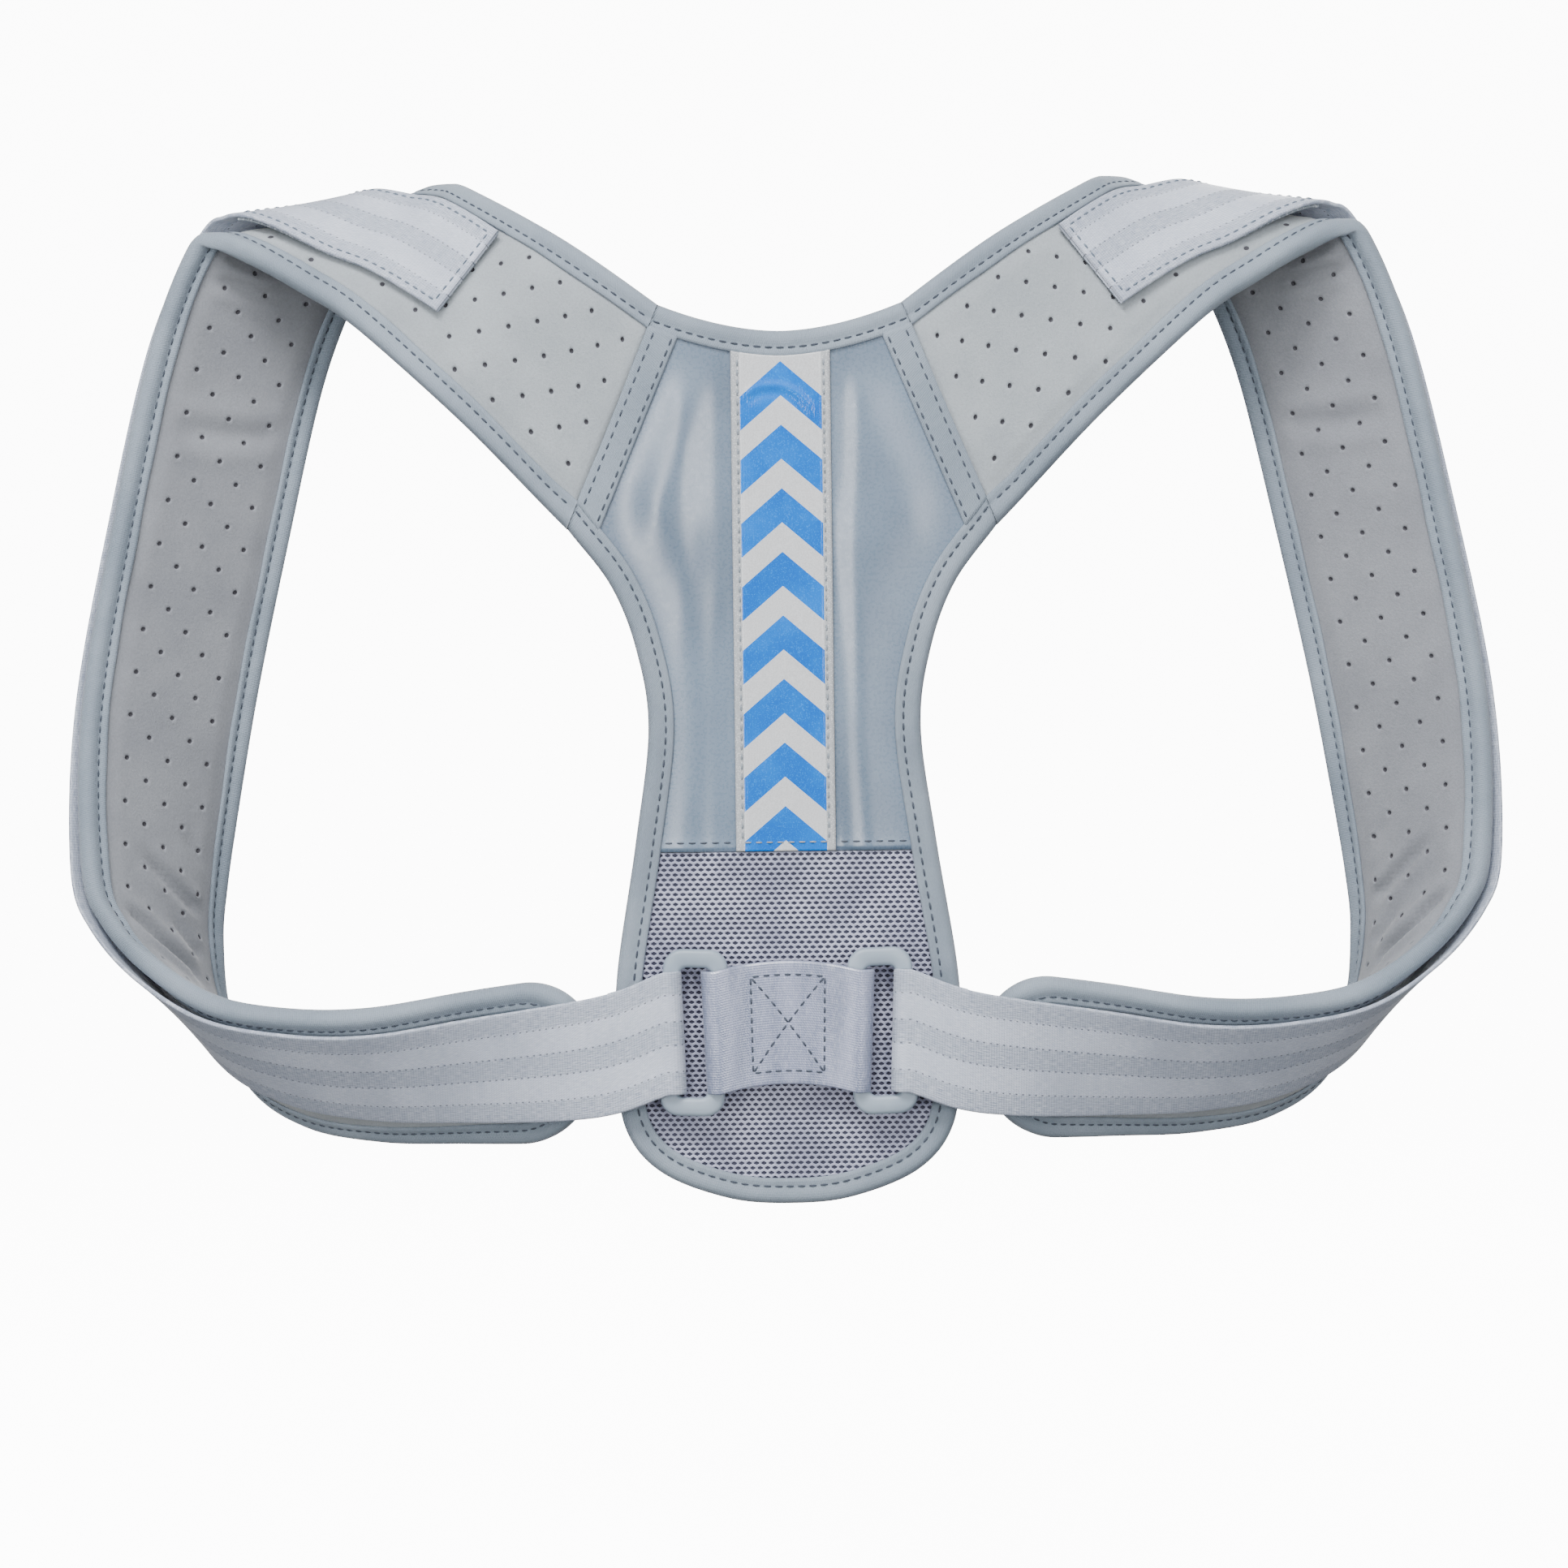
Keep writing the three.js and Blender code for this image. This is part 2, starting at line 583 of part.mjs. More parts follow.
function flatLoop() {
  const bevel = RING_ROUND;
  const slotWidth = RING_WIDTH - 2 * BAR_WIDTH;
  const slotHeight = WEB_WIDTH + 2 * SLOT_PLAY;
  const slotCorner = bevel + GAP;
  const swell = 2 * bevel;
  const shape = new THREE.Shape();
  roundedRectangle(shape, RING_WIDTH - swell, RING_HEIGHT - swell, RING_CORNER - bevel);
  const slot = new THREE.Path();
  roundedRectangle(slot, slotWidth + swell, slotHeight + swell, slotCorner);
  shape.holes.push(slot);
  const geometry = new THREE.ExtrudeGeometry(shape, {
    depth: RING_THICKNESS - 2 * bevel,
    bevelThickness: bevel,
    bevelSize: bevel,
    bevelSegments: 2,
    curveSegments: 4,
  });
  geometry.translate(0, 0, bevel - RING_THICKNESS / 2);
  return geometry;
}

// Centre webbing: two layers sewn together in the middle, rolled round the inner bar of each flat loop
function centreWebbing() {
  const bar = RING_REACH - BAR_OFFSET;
  const sewn = WEB_THICKNESS + 0.1;
  const crown = 0.15;
  const outerHalf = (x) => {
    const share = THREE.MathUtils.clamp((x - BOX_STITCH_HALF) / (bar - BOX_STITCH_HALF), 0, 1);
    const swell = crown * Math.max(1 - (x / BOX_STITCH_HALF) ** 2, 0);
    return swell + THREE.MathUtils.lerp(sewn, ROLL_OUTSIDE, share * share * (3 - 2 * share));
  };
  const flank = [0, 0.5, 1, 1.15, 1.3, 1.45, 1.6, 1.75].map((share) => share * BOX_STITCH_HALF);
  const xs = flank.filter((x) => x < bar - 1);
  const arc = (radius, count) =>
    Array.from({ length: count + 1 }, (_, i) => {
      const angle = Math.PI / 2 - (i * Math.PI) / count;
      return new THREE.Vector2(bar + radius * Math.cos(angle), radius * Math.sin(angle));
    });
  const under = (points) => points.map((p) => new THREE.Vector2(p.x, -p.y)).reverse();
  const top = xs.slice(1).map((x) => new THREE.Vector2(x, outerHalf(x)));
  const right = [...top, ...arc(ROLL_OUTSIDE, 8), ...under(top)];
  const left = right.map((p) => new THREE.Vector2(-p.x, -p.y));
  const bottomMiddle = new THREE.Vector2(0, -outerHalf(0));
  const topMiddle = new THREE.Vector2(0, outerHalf(0));
  const shape = new THREE.Shape([topMiddle, ...right, bottomMiddle, ...left].reverse());
  const holeXs = xs.filter((x) => outerHalf(x) - WEB_THICKNESS > 0.3);
  const holeTop = holeXs.map((x) => new THREE.Vector2(x, outerHalf(x) - WEB_THICKNESS));
  const tear = [...holeTop, ...arc(ROLL_INSIDE, 8), ...under(holeTop)];
  shape.holes.push(new THREE.Path(tear));
  shape.holes.push(new THREE.Path(tear.map((p) => new THREE.Vector2(-p.x, -p.y))));
  const geometry = new THREE.ExtrudeGeometry(shape, { depth: WEB_WIDTH, bevelEnabled: false });
  const position = geometry.attributes.position;
  for (let i = 0; i < position.count; i++) {
    const up = position.getZ(i) - WEB_WIDTH / 2;
    const x = position.getX(i);
    const arch = CENTRE_ARCH * (1 - Math.min((x / bar) ** 2, 1));
    const spread = 1 + (up * Math.tan(LEAN)) / bar;
    position.setXYZ(i, x * spread, RING_Y + position.getY(i), up + arch - BELT_DROP);
  }
  return geometry;
}

// The whole object

function piece(name, finish, geometry) {
  const mesh = new THREE.Mesh(geometry, new THREE.MeshStandardMaterial(FINISHES[finish]));
  mesh.name = name;
  return mesh;
}

function backPanel() {
  const group = new THREE.Group();
  const lower = lowerEdge().length;
  const neck = neckEdge().length;
  group.add(
    piece("back_pad", "core_fabric", backPad()),
    piece("leather_facing", "leatherette", facing(-FACING_SPLIT, 2 * PANEL_ABOVE)),
    piece("mesh_facing", "mesh_fabric", facing(-2 * PANEL_BELOW, -FACING_SPLIT - GAP)),
    piece("chevron_tape", "chevron_print", chevronTape()),
    piece("panel_binding", "binding_tape", panelBinding(0, lower)),
    piece("neck_binding", "binding_tape", panelBinding(lower, neck)),
    piece("centre_webbing", "webbing", centreWebbing()),
  );
  return group;
}

// One side's pieces, modelled on the wearer's left and mirrored for the right.
function shoulderSide(side) {
  const group = new THREE.Group();
  if (side === "right") group.scale.x = -1;
  const loop = piece(`flat_loop_${side}`, "loop_plastic", flatLoop());
  loop.position.set(-RING_REACH, RING_Y, -BELT_DROP);
  loop.rotation.set(Math.PI / 2, -LEAN, 0, "YXZ");
  group.add(
    piece(`seam_tape_${side}`, "binding_tape", seamTape()),
    piece(`strap_pad_${side}`, "pad_fabric", strapPad()),
    piece(`strap_binding_${side}`, "binding_tape", strapBinding()),
    piece(`webbing_${side}`, "webbing", sideWebbing()),
    piece(`hook_patch_${side}`, "hook_tape", hookPatch()),
    loop,
  );
  return group;
}

const corrector = new THREE.Group();
corrector.add(backPanel(), shoulderSide("left"), shoulderSide("right"));

export default corrector;
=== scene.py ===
"""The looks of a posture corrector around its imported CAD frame, in millimetres until a mesh is made."""

import math

import bmesh
import bpy
import numpy as np
from mathutils import Matrix, Vector


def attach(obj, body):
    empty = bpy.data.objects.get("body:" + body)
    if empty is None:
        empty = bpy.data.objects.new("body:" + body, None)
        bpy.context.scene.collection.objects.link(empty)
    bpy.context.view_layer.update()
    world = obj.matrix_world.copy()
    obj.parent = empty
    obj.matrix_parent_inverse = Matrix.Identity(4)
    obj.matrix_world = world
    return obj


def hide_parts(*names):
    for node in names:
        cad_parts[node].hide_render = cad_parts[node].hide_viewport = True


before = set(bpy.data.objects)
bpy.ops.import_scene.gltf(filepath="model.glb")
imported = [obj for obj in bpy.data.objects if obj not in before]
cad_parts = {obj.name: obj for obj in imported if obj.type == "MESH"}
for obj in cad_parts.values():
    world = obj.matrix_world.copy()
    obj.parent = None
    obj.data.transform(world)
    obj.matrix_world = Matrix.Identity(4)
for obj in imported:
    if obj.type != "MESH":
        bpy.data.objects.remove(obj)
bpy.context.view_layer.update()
MM = 0.001

# Camera, at the photograph's place: level with the lower panel, a metre behind the wearer's back
CAMERA_PLACE = (-0.0004, -1.0, -0.05215)
CAMERA_LENS = 73.6
CAMERA_ROLL = -0.7

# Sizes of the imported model, in millimetres
GAP = 0.3
PANEL_ABOVE, PANEL_BELOW = 97.2, 182.5
YOKE_HALF, SEAM_RISE = 66.6, 27.5
NECK_HALF, NECK_DIP = 37.5, 8.4
FACING_SPLIT = 72.9
TAPE_WIDTH, SEAM_TAPE_WIDTH = 31.0, 9.3
BINDING_LIP, BINDING_DEPTH = 8.0, 1.4
LOOP_REACH, LOOP_DEPTH, LOOP_RISE, LOOP_DROP = 153.6, 60.0, 66.0, 191.5
STRAP_WIDTH, STRAP_THICKNESS = 62.0, 6.5
TIP_LENGTH, TIP_REACH = 26.0, 59.0
WEB_WIDTH, TAB_WIDTH, WEB_THICKNESS, TAIL_LENGTH = 38.0, 32.0, 1.5, 19.0
HOOK_THICKNESS, HOOK_LENGTH, HOOK_MARGIN = 1.2, 64.0, 1.5
RING_WIDTH, RING_HEIGHT, RING_THICKNESS, RING_CORNER = 20.0, 51.5, 4.0, 6.0
BAR_WIDTH, SLOT_PLAY, RING_REACH, BELT_DROP = 5.2, 1.0, 29.1, 128.5
LEAN = math.radians(2)
CENTRE_ARCH, BOX_STITCH_HALF = 2.9, 11.5
LIP_BACK, LIP_FRONT = -0.2, -6.5
PANEL_MIDDLE = (LIP_BACK + LIP_FRONT) / 2
CORE_FRONT, FACING_BACK, FACING_FRONT = -4.0, -4.3, -5.3
TAPE_BACK, TAPE_FRONT = -5.6, -6.6
HEM_Z, TAPE_STITCH = -70.2, 13.4
ROLL_INSIDE = BAR_WIDTH / 2 + GAP
ROLL_OUTSIDE = ROLL_INSIDE + WEB_THICKNESS
RING_Y = TAPE_FRONT - GAP - ROLL_OUTSIDE
BAR_OFFSET = (RING_WIDTH - BAR_WIDTH) / 2
WEB_START, TAB_END = 1.48, 4.0

# Lower edge of the panel, left half: fall as a share of PANEL_BELOW, half as a share of YOKE_HALF
LOWER_EDGE = [
    (-0.055, 0.804), (0.055, 0.689), (0.19, 0.637), (0.386, 0.704), (0.607, 0.797),
    (0.75, 0.805), (0.87, 0.765), (0.945, 0.6), (0.99, 0.29),
]

# The left shoulder loop: across, depth, up, swing, tilt, width, lift, shift, as in the CAD source
LOOP = np.array([
    (0, 0, 0, 0, 67.1, 1.24, 0.28, 0.18),
    (0.2, 0, 0.415, 3, 58, 1.05, 0.28, 0.17),
    (0.4, 0.233, 0.785, 16.2, 45.6, 0.96, 0.28, 0.1),
    (0.49, 0.367, 0.915, 21.9, 33.7, 1.01, 0.3, 0),
    (0.58, 0.483, 0.985, 26.5, 20.5, 1.05, 0.6, -0.08),
    (0.66, 0.575, 0.95, 29.4, 5.8, 1.02, 0.75, -0.15),
    (0.717, 0.625, 0.815, 30.6, -5, 0.98, 0.5, -0.2),
    (0.799, 0.65, 0.34, 30.1, -7.5, 0.96, 0.24, -0.26),
    (0.88, 0.633, -0.168, 28.3, -2.9, 0.95, 0.2, -0.28),
    (0.954, 0.642, -0.469, 32.9, -4.5, 0.94, 0.2, -0.28),
    (0.986, 0.667, -0.737, 48, -6.4, 0.92, 0.3, -0.28),
    (0.973, 0.692, -0.845, 60, -11.8, 0.91, 0.45, -0.28),
    (0.924, 0.733, -0.94, 74, -20.7, 0.93, 0.6, -0.27),
    (0.822, 0.675, -1.028, 82, -32.6, 0.96, 0.6, -0.23),
    (0.681, 0.533, -1.067, 88, -42.1, 0.96, 0.5, -0.18),
    (0.52, 0.392, -1.075, 91, -49, 0.94, 0.42, -0.13),
    (0.341, 0.24, -1.062, 92, -60, 0.91, 0.4, -0.08),
    (0.041, -0.03, -1.035, 85, -81, 0.86, 0.45, -0.02),
])


# Mathematics

def smooth(values, place):
    """The Catmull-Rom curve through a list of values, read at places counted in list steps."""
    values = np.asarray(values, float)
    place = np.asarray(place, float)
    last = len(values) - 1
    index = np.clip(np.floor(place).astype(int), 0, last - 1)
    t = place - index
    b, c = values[index], values[index + 1]
    before, after = values[np.maximum(index - 1, 0)], values[np.minimum(index + 2, last)]
    first, final = index == 0, index + 2 > last
    if values.ndim > 1:
        t, first, final = t[..., None], first[..., None], final[..., None]
    a = np.where(first, 2 * b - c, before)
    d = np.where(final, 2 * c - b, after)
    return b + 0.5 * t * (c - a + t * (2 * a - 5 * b + 4 * c - d + t * (3 * (b - c) + d - a)))


def ease(low, high, value):
    """0 below low, 1 above high, and smooth between them."""
    share = np.clip((np.asarray(value, float) - low) / (high - low), 0, 1)
    return share * share * (3 - 2 * share)


def unit(vectors):
    vectors = np.asarray(vectors, float)
    return vectors / np.maximum(np.linalg.norm(vectors, axis=-1, keepdims=True), 1e-12)


def lengths_along(points):
    steps = np.linalg.norm(np.diff(points, axis=0), axis=1)
    return np.concatenate([[0], np.cumsum(steps)])


def resampled(points, count):
    """The same line with its points at even distances."""
    points = np.asarray(points, float)
    along = lengths_along(points)
    even = np.linspace(0, along[-1], count)
    return np.stack([np.interp(even, along, points[:, k]) for k in range(points.shape[1])], axis=1)


def ripple(x, z, size, seed):
    """A gentle unevenness between about -1 and 1, from a few crossed waves."""
    rng = np.random.default_rng(seed)
    total = np.zeros(np.broadcast(x, z).shape)
    for _ in range(6):
        angle, phase = rng.uniform(0, 2 * math.pi, 2)
        wave = size * rng.uniform(0.7, 1.6)
        total = total + np.sin(2 * math.pi * (x * math.cos(angle) + z * math.sin(angle)) / wave + phase)
    return total / 4


# Meshes

def grid_faces(rows, columns, wrap=False):
    """Quads of a grid of points, row after row. wrap joins the last column to the first."""
    i, j = np.meshgrid(np.arange(rows - 1), np.arange(columns if wrap else columns - 1), indexing="ij")
    here, below, k = i * columns, (i + 1) * columns, (j + 1) % columns
    return np.stack([here + j, below + j, below + k, here + k], axis=-1).reshape(-1, 4).tolist()


def ring_faces(one, two):
    """Quads between two rings with the same number of points."""
    return [[a, b, d, c] for a, b, c, d in zip(one, one[1:] + one[:1], two, two[1:] + two[:1])]


def points_at(x, y, z):
    return np.stack(np.broadcast_arrays(x, y, z), axis=-1)


def weave_at(along, across):
    """UVs over a grid, from the lengths along its rows and across its columns."""
    return np.stack(np.broadcast_arrays(along[:, None], across[None]), axis=-1)


class Shape:
    """Points, UVs, faces and the faces' material numbers, gathered for one piece in millimetres."""

    def __init__(self):
        self.points, self.uvs, self.faces, self.slots, self.count = [], [], [], [], 0

    def add(self, points, faces=(), uvs=None, slot=0):
        """Adds points and the faces between them, and gives the number of the first point."""
        points = np.asarray(points, float).reshape(-1, 3)
        start = self.count
        self.points.append(points)
        self.uvs.append(points[:, [0, 2]] if uvs is None else np.asarray(uvs, float).reshape(-1, 2))
        self.count += len(points)
        self.join(faces, start, slot)
        return start

    def join(self, faces, start=0, slot=0):
        self.faces += [[i + start for i in face] for face in faces]
        self.slots += [slot] * len(faces)


def placed(name, data):
    thing = bpy.data.objects.new(name, data)
    bpy.context.scene.collection.objects.link(thing)
    return thing


def make(shape, name, materials, node=None, mirror=False, weld=False):
    """Makes a shape into a piece on the frame's one body, in the place of its CAD node."""
    points = np.concatenate(shape.points) * MM
    if mirror:
        points[:, 0] *= -1
    mesh = bpy.data.meshes.new(name)
    mesh.from_pydata(points.tolist(), [], shape.faces)
    corners = np.empty(len(mesh.loops), np.int32)
    mesh.loops.foreach_get("vertex_index", corners)
    uvs = (np.concatenate(shape.uvs) * MM).astype(np.float32)
    mesh.uv_layers.new(name="weave").data.foreach_set("uv", uvs[corners].ravel())
    mesh.polygons.foreach_set("material_index", np.array(shape.slots, np.int32))
    mesh.polygons.foreach_set("use_smooth", np.ones(len(mesh.polygons), bool))
    for material in materials:
        mesh.materials.append(material)
    if weld:
        work = bmesh.new()
        work.from_mesh(mesh)
        bmesh.ops.remove_doubles(work, verts=work.verts, dist=2e-6)
        bmesh.ops.dissolve_degenerate(work, dist=1e-7, edges=work.edges)
        work.to_mesh(mesh)
        work.free()
    mesh.calc_loop_triangles()
    triangles = np.empty(len(mesh.loop_triangles) * 3, np.int32)
    mesh.loop_triangles.foreach_get("vertices", triangles)
    places = np.empty(len(mesh.vertices) * 3)
    mesh.vertices.foreach_get("co", places)
    a, b, c = places.reshape(-1, 3)[triangles.reshape(-1, 3)].transpose(1, 0, 2)
    if np.einsum("ij,ij->", a, np.cross(b, c)) < 0:
        mesh.flip_normals()
    mesh.update()
    piece = placed(name, mesh)
    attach(piece, "root")
    if node:
        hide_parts(node)


def thin_solid(x, first, second, z, uvs=None):
    """A closed sheet over a grid of (x, z), between two depths y."""
    shape = Shape()
    rows, columns = x.shape
    faces = grid_faces(rows, columns)
    one = shape.add(points_at(x, first, z), faces, uvs)
    two = shape.add(points_at(x, second, z), [face[::-1] for face in faces], uvs)
    rim = [i * columns for i in range(rows)]
    rim += [(rows - 1) * columns + j for j in range(1, columns)]
    rim += [i * columns + columns - 1 for i in range(rows - 2, -1, -1)]
    rim += list(range(columns - 2, 0, -1))
    shape.join([[one + b, one + a, two + a, two + b] for a, b in zip(rim, rim[1:] + rim[:1])])
    return shape


def tube(rings, uvs=None, closed=False):
    """A skin over rings of points. Its ends are capped, or closed joins the last ring to the first."""
    shape = Shape()
    rows, count = rings.shape[:2]
    start = shape.add(rings, grid_faces(rows, count, wrap=True), uvs)
    last = (rows - 1) * count
    if closed:
        shape.join([[last + j, j, (j + 1) % count, last + (j + 1) % count] for j in range(count)], start)
    else:
        shape.join([list(range(count))[::-1], list(range(last, last + count))], start)
    return shape


def band(middles, across, out, section, widths):
    """A section swept along a row of frames: each section point is (x across, y out)."""
    section = np.asarray(section, float)
    x = section[None, :, 0] * widths[:, None]
    rings = middles[:, None] + across[:, None] * x[..., None] + out[:, None] * section[None, :, 1, None]
    return tube(rings, weave_at(lengths_along(middles), section[:, 0]))


# Stitches

STITCH_PITCH, STITCH_LENGTH, STITCH_RADIUS = 3.5, 2.5, 0.32
STITCH_INSET = 5.6
# Rings of one thread: share of its length, share of its radius, and rise in diameters
STITCH_RINGS = [(0.0, 0.0, -0.34), (0.1, 0.75, -0.1), (0.5, 1.0, 0.12), (0.9, 0.75, -0.1), (1.0, 0.0, -0.34)]
STITCH_SIDES = 6


def stitches(shape, line, normals, pitch=STITCH_PITCH, length=STITCH_LENGTH):
    """Short threads laid along a line on a surface, their ends sunk into the cloth."""
    normals = np.broadcast_to(unit(normals), line.shape)
    along = lengths_along(line)
    number = max(int(along[-1] / pitch), 1)
    starts = (np.arange(number) + 0.5) * (along[-1] / number) - length / 2

    def at(values, distance):
        return np.stack([np.interp(distance, along, values[:, k]) for k in range(3)], axis=-1)

    heading = unit(at(line, starts + length) - at(line, starts))
    up = unit(at(normals, starts + length / 2))
    side = unit(np.cross(heading, up))
    angles = np.arange(STITCH_SIDES) * 2 * math.pi / STITCH_SIDES
    spokes = np.cos(angles)[None, :, None] * side[:, None] + np.sin(angles)[None, :, None] * up[:, None]
    rings = []
    for share, thick, rise in STITCH_RINGS:
        centre = at(line, starts + share * length) + up * (rise * STITCH_RADIUS * 2)
        rings.append(centre[:, None] + spokes * STITCH_RADIUS * thick)
    body = np.stack(rings[1:-1], axis=1).reshape(number, -1, 3)
    tips = np.stack([rings[0][:, 0], rings[-1][:, 0]], axis=1)
    block = np.concatenate([body, tips], axis=1)
    inner = len(STITCH_RINGS) - 2
    first, last = inner * STITCH_SIDES, inner * STITCH_SIDES + 1
    end = first - STITCH_SIDES
    faces = grid_faces(inner, STITCH_SIDES, wrap=True)
    for j in range(STITCH_SIDES):
        faces.append([first, j, (j + 1) % STITCH_SIDES])
    for j in range(STITCH_SIDES):
        faces.append([last, end + (j + 1) % STITCH_SIDES, end + j])
    size = block.shape[1]
    shape.add(block, [[i + n * size for i in face] for n in range(number) for face in faces])


# Materials

class Paint:
    """A material built from nodes, with short calls for the nodes that it uses."""

    def __init__(self, name, roughness=0.8, specular=0.5):
        self.material = bpy.data.materials.new(name)
        self.material.use_nodes = True
        self.tree = self.material.node_tree
        self.shader = self.tree.nodes["Principled BSDF"]
        self.shader.inputs["Roughness"].default_value = roughness
        self.shader.inputs["Specular IOR Level"].default_value = specular
        self.place = self.node("ShaderNodeTexCoord")
        self.normal = None

    def node(self, kind, **settings):
        made = self.tree.nodes.new(kind)
        for name, value in settings.items():
            setattr(made, name, value)
        return made

    def join(self, value, socket):
        if hasattr(value, "links"):
            self.tree.links.new(value, socket)
        elif value is not None:
            socket.default_value = value

    def object(self):
        return self.place.outputs["Object"]

    def uv(self):
        return self.place.outputs["UV"]

    def parts(self, vector):
        made = self.node("ShaderNodeSeparateXYZ")
        self.join(vector, made.inputs[0])
        return made.outputs

    def scaled(self, vector, x, y, z=1.0):
        made = self.node("ShaderNodeVectorMath", operation="MULTIPLY")
        self.join(vector, made.inputs[0])
        made.inputs[1].default_value = (x, y, z)
        return made.outputs[0]

    def maths(self, operation, a, b=None, c=None, clamp=False):
        made = self.node("ShaderNodeMath", operation=operation, use_clamp=clamp)
        for index, value in enumerate((a, b, c)):
            self.join(value, made.inputs[index])
        return made.outputs[0]

    def times(self, a, b):
        return self.maths("MULTIPLY", a, b)

    def noise(self, vector, scale, detail=2.0, roughness=0.5):
        made = self.node("ShaderNodeTexNoise")
        self.join(vector, made.inputs["Vector"])
        made.inputs["Scale"].default_value = scale
        made.inputs["Detail"].default_value = detail
        made.inputs["Roughness"].default_value = roughness
        return made.outputs["Fac"]

    def speckle(self, scale, detail=2.0, roughness=0.5):
        """Noise over the piece itself, whichever way its cloth runs."""
        return self.noise(self.object(), scale, detail, roughness)

    def cells(self, vector, scale):
        made = self.node("ShaderNodeTexVoronoi")
        self.join(vector, made.inputs["Vector"])
        made.inputs["Scale"].default_value = scale
        return made.outputs["Distance"]

    def between(self, value, low, high, to_low=0.0, to_high=1.0):
        made = self.node("ShaderNodeMapRange", interpolation_type="SMOOTHSTEP")
        for index, item in enumerate((value, low, high, to_low, to_high)):
            self.join(item, made.inputs[index])
        return made.outputs[0]

    def mix(self, share, a, b):
        made = self.node("ShaderNodeMix", data_type="RGBA")
        self.join(share, made.inputs["Factor"])
        for socket, value in ((made.inputs[6], a), (made.inputs[7], b)):
            self.join((*value, 1.0) if isinstance(value, tuple) else value, socket)
        return made.outputs[2]

    def fade(self, value, low, high, a, b):
        """From colour a to colour b while the value goes from low to high."""
        return self.mix(self.between(value, low, high), a, b)

    def waves(self, value, pitch):
        """A wave from 0 to 1 with this pitch in metres."""
        turned = self.times(value, 2 * math.pi / pitch)
        return self.maths("MULTIPLY_ADD", self.maths("SINE", turned), 0.5, 0.5)

    def bump(self, height, distance, strength=1.0):
        made = self.node("ShaderNodeBump")
        made.inputs["Strength"].default_value = strength
        made.inputs["Distance"].default_value = distance
        self.join(height, made.inputs["Height"])
        if self.normal is not None:
            self.join(self.normal, made.inputs["Normal"])
        self.normal = made.outputs[0]

    def done(self, colour, roughness=None, **extra):
        if isinstance(colour, tuple):
            colour = (*colour, 1.0)
        self.join(colour, self.shader.inputs["Base Color"])
        if roughness is not None:
            self.join(roughness, self.shader.inputs["Roughness"])
        if self.normal is not None:
            self.join(self.normal, self.shader.inputs["Normal"])
        for name, value in extra.items():
            self.shader.inputs[name.replace("_", " ")].default_value = value
        return self.material


def shade(red, green, blue):
    """A colour given in the usual 0 to 255, as Blender's linear numbers."""
    def linear(value):
        value /= 255
        return value / 12.92 if value <= 0.04045 else ((value + 0.055) / 1.055) ** 2.4
    return linear(red), linear(green), linear(blue)


def pad_fabric(name, light, dark):
    paint = Paint(name, roughness=0.92, specular=0.25)
    spots = paint.speckle(45, detail=3)
    nap = paint.speckle(1400, detail=3, roughness=0.65)
    fleck = paint.speckle(5200, detail=1)
    colour = paint.mix(paint.between(spots, 0.2, 0.8, 0.25, 0.85), dark, light)
    mottle = paint.fade(nap, 0.25, 0.75, (0.74, 0.74, 0.75), (1.0, 1.0, 1.0))
    tinted = paint.node("ShaderNodeMix", data_type="RGBA", blend_type="MULTIPLY")
    tinted.inputs["Factor"].default_value = 0.55
    paint.join(colour, tinted.inputs[6])
    paint.join(mottle, tinted.inputs[7])
    paint.bump(nap, 0.00022, 0.7)
    paint.bump(fleck, 0.00008, 0.6)
    rough = paint.between(nap, 0.2, 0.8, 0.84, 0.98)
    return paint.done(tinted.outputs[2], rough, Sheen_Weight=0.35, Sheen_Roughness=0.45)


def ribbed_tape(name, light, dark, pitch=0.00062):
    """A folded grosgrain tape: fine ribs across it, a soft wear along its length, and a painted highlight on
    the crest of each rib.
    """
    paint = Paint(name, roughness=0.7, specular=0.35)
    u, v, _ = paint.parts(paint.uv())
    drift = paint.speckle(30, detail=3)
    thread = paint.noise(paint.scaled(paint.uv(), 1500, 5200), 1.0, detail=2)
    slant = paint.maths("ADD", u, paint.times(v, 0.35))
    ribs = paint.waves(slant, pitch)
    warp = paint.waves(v, 0.0008)
    weave = paint.maths("MULTIPLY_ADD", warp, 0.35, ribs)
    colour = paint.fade(drift, 0.3, 0.7, dark, light)
    worn = paint.fade(thread, 0.3, 0.75, dark, light)
    both = paint.mix(0.4, colour, worn)
    # Lighter rib crests: painted highlight.
    colour_with_rib_highlight = paint.mix(paint.times(ribs, 0.22), both, tuple(x * 1.25 for x in light))
    paint.bump(paint.speckle(170, detail=3), 0.0006, 0.55)
    paint.bump(weave, 0.00009, 0.75)
    paint.bump(thread, 0.00008, 0.5)
    rough = paint.between(thread, 0.2, 0.8, 0.56, 0.78)
    return paint.done(colour_with_rib_highlight, rough, Sheen_Weight=0.25, Sheen_Roughness=0.4)


def thread_paint(name, colour):
    paint = Paint(name, roughness=0.6)
    twist = paint.speckle(3500, detail=1)
    paint.bump(twist, 0.00008, 0.8)
    darker = tuple(x * 0.6 for x in colour)
    return paint.done(paint.fade(twist, 0.35, 0.65, darker, colour))


def leatherette():
    paint = Paint("leatherette", roughness=0.3, specular=0.75)
    grain = paint.cells(paint.object(), 1500)
    pebble = paint.speckle(900, detail=3)
    cloud = paint.speckle(18, detail=3)
    colour = paint.fade(cloud, 0.3, 0.7, shade(81, 99, 120), shade(103, 122, 143))
    paint.bump(grain, 0.00005, 0.15)
    paint.bump(pebble, 0.00008, 0.15)
    rough = paint.between(pebble, 0.3, 0.7, 0.24, 0.34)
    return paint.done(colour, rough, Coat_Weight=1.0, Coat_Roughness=0.27)


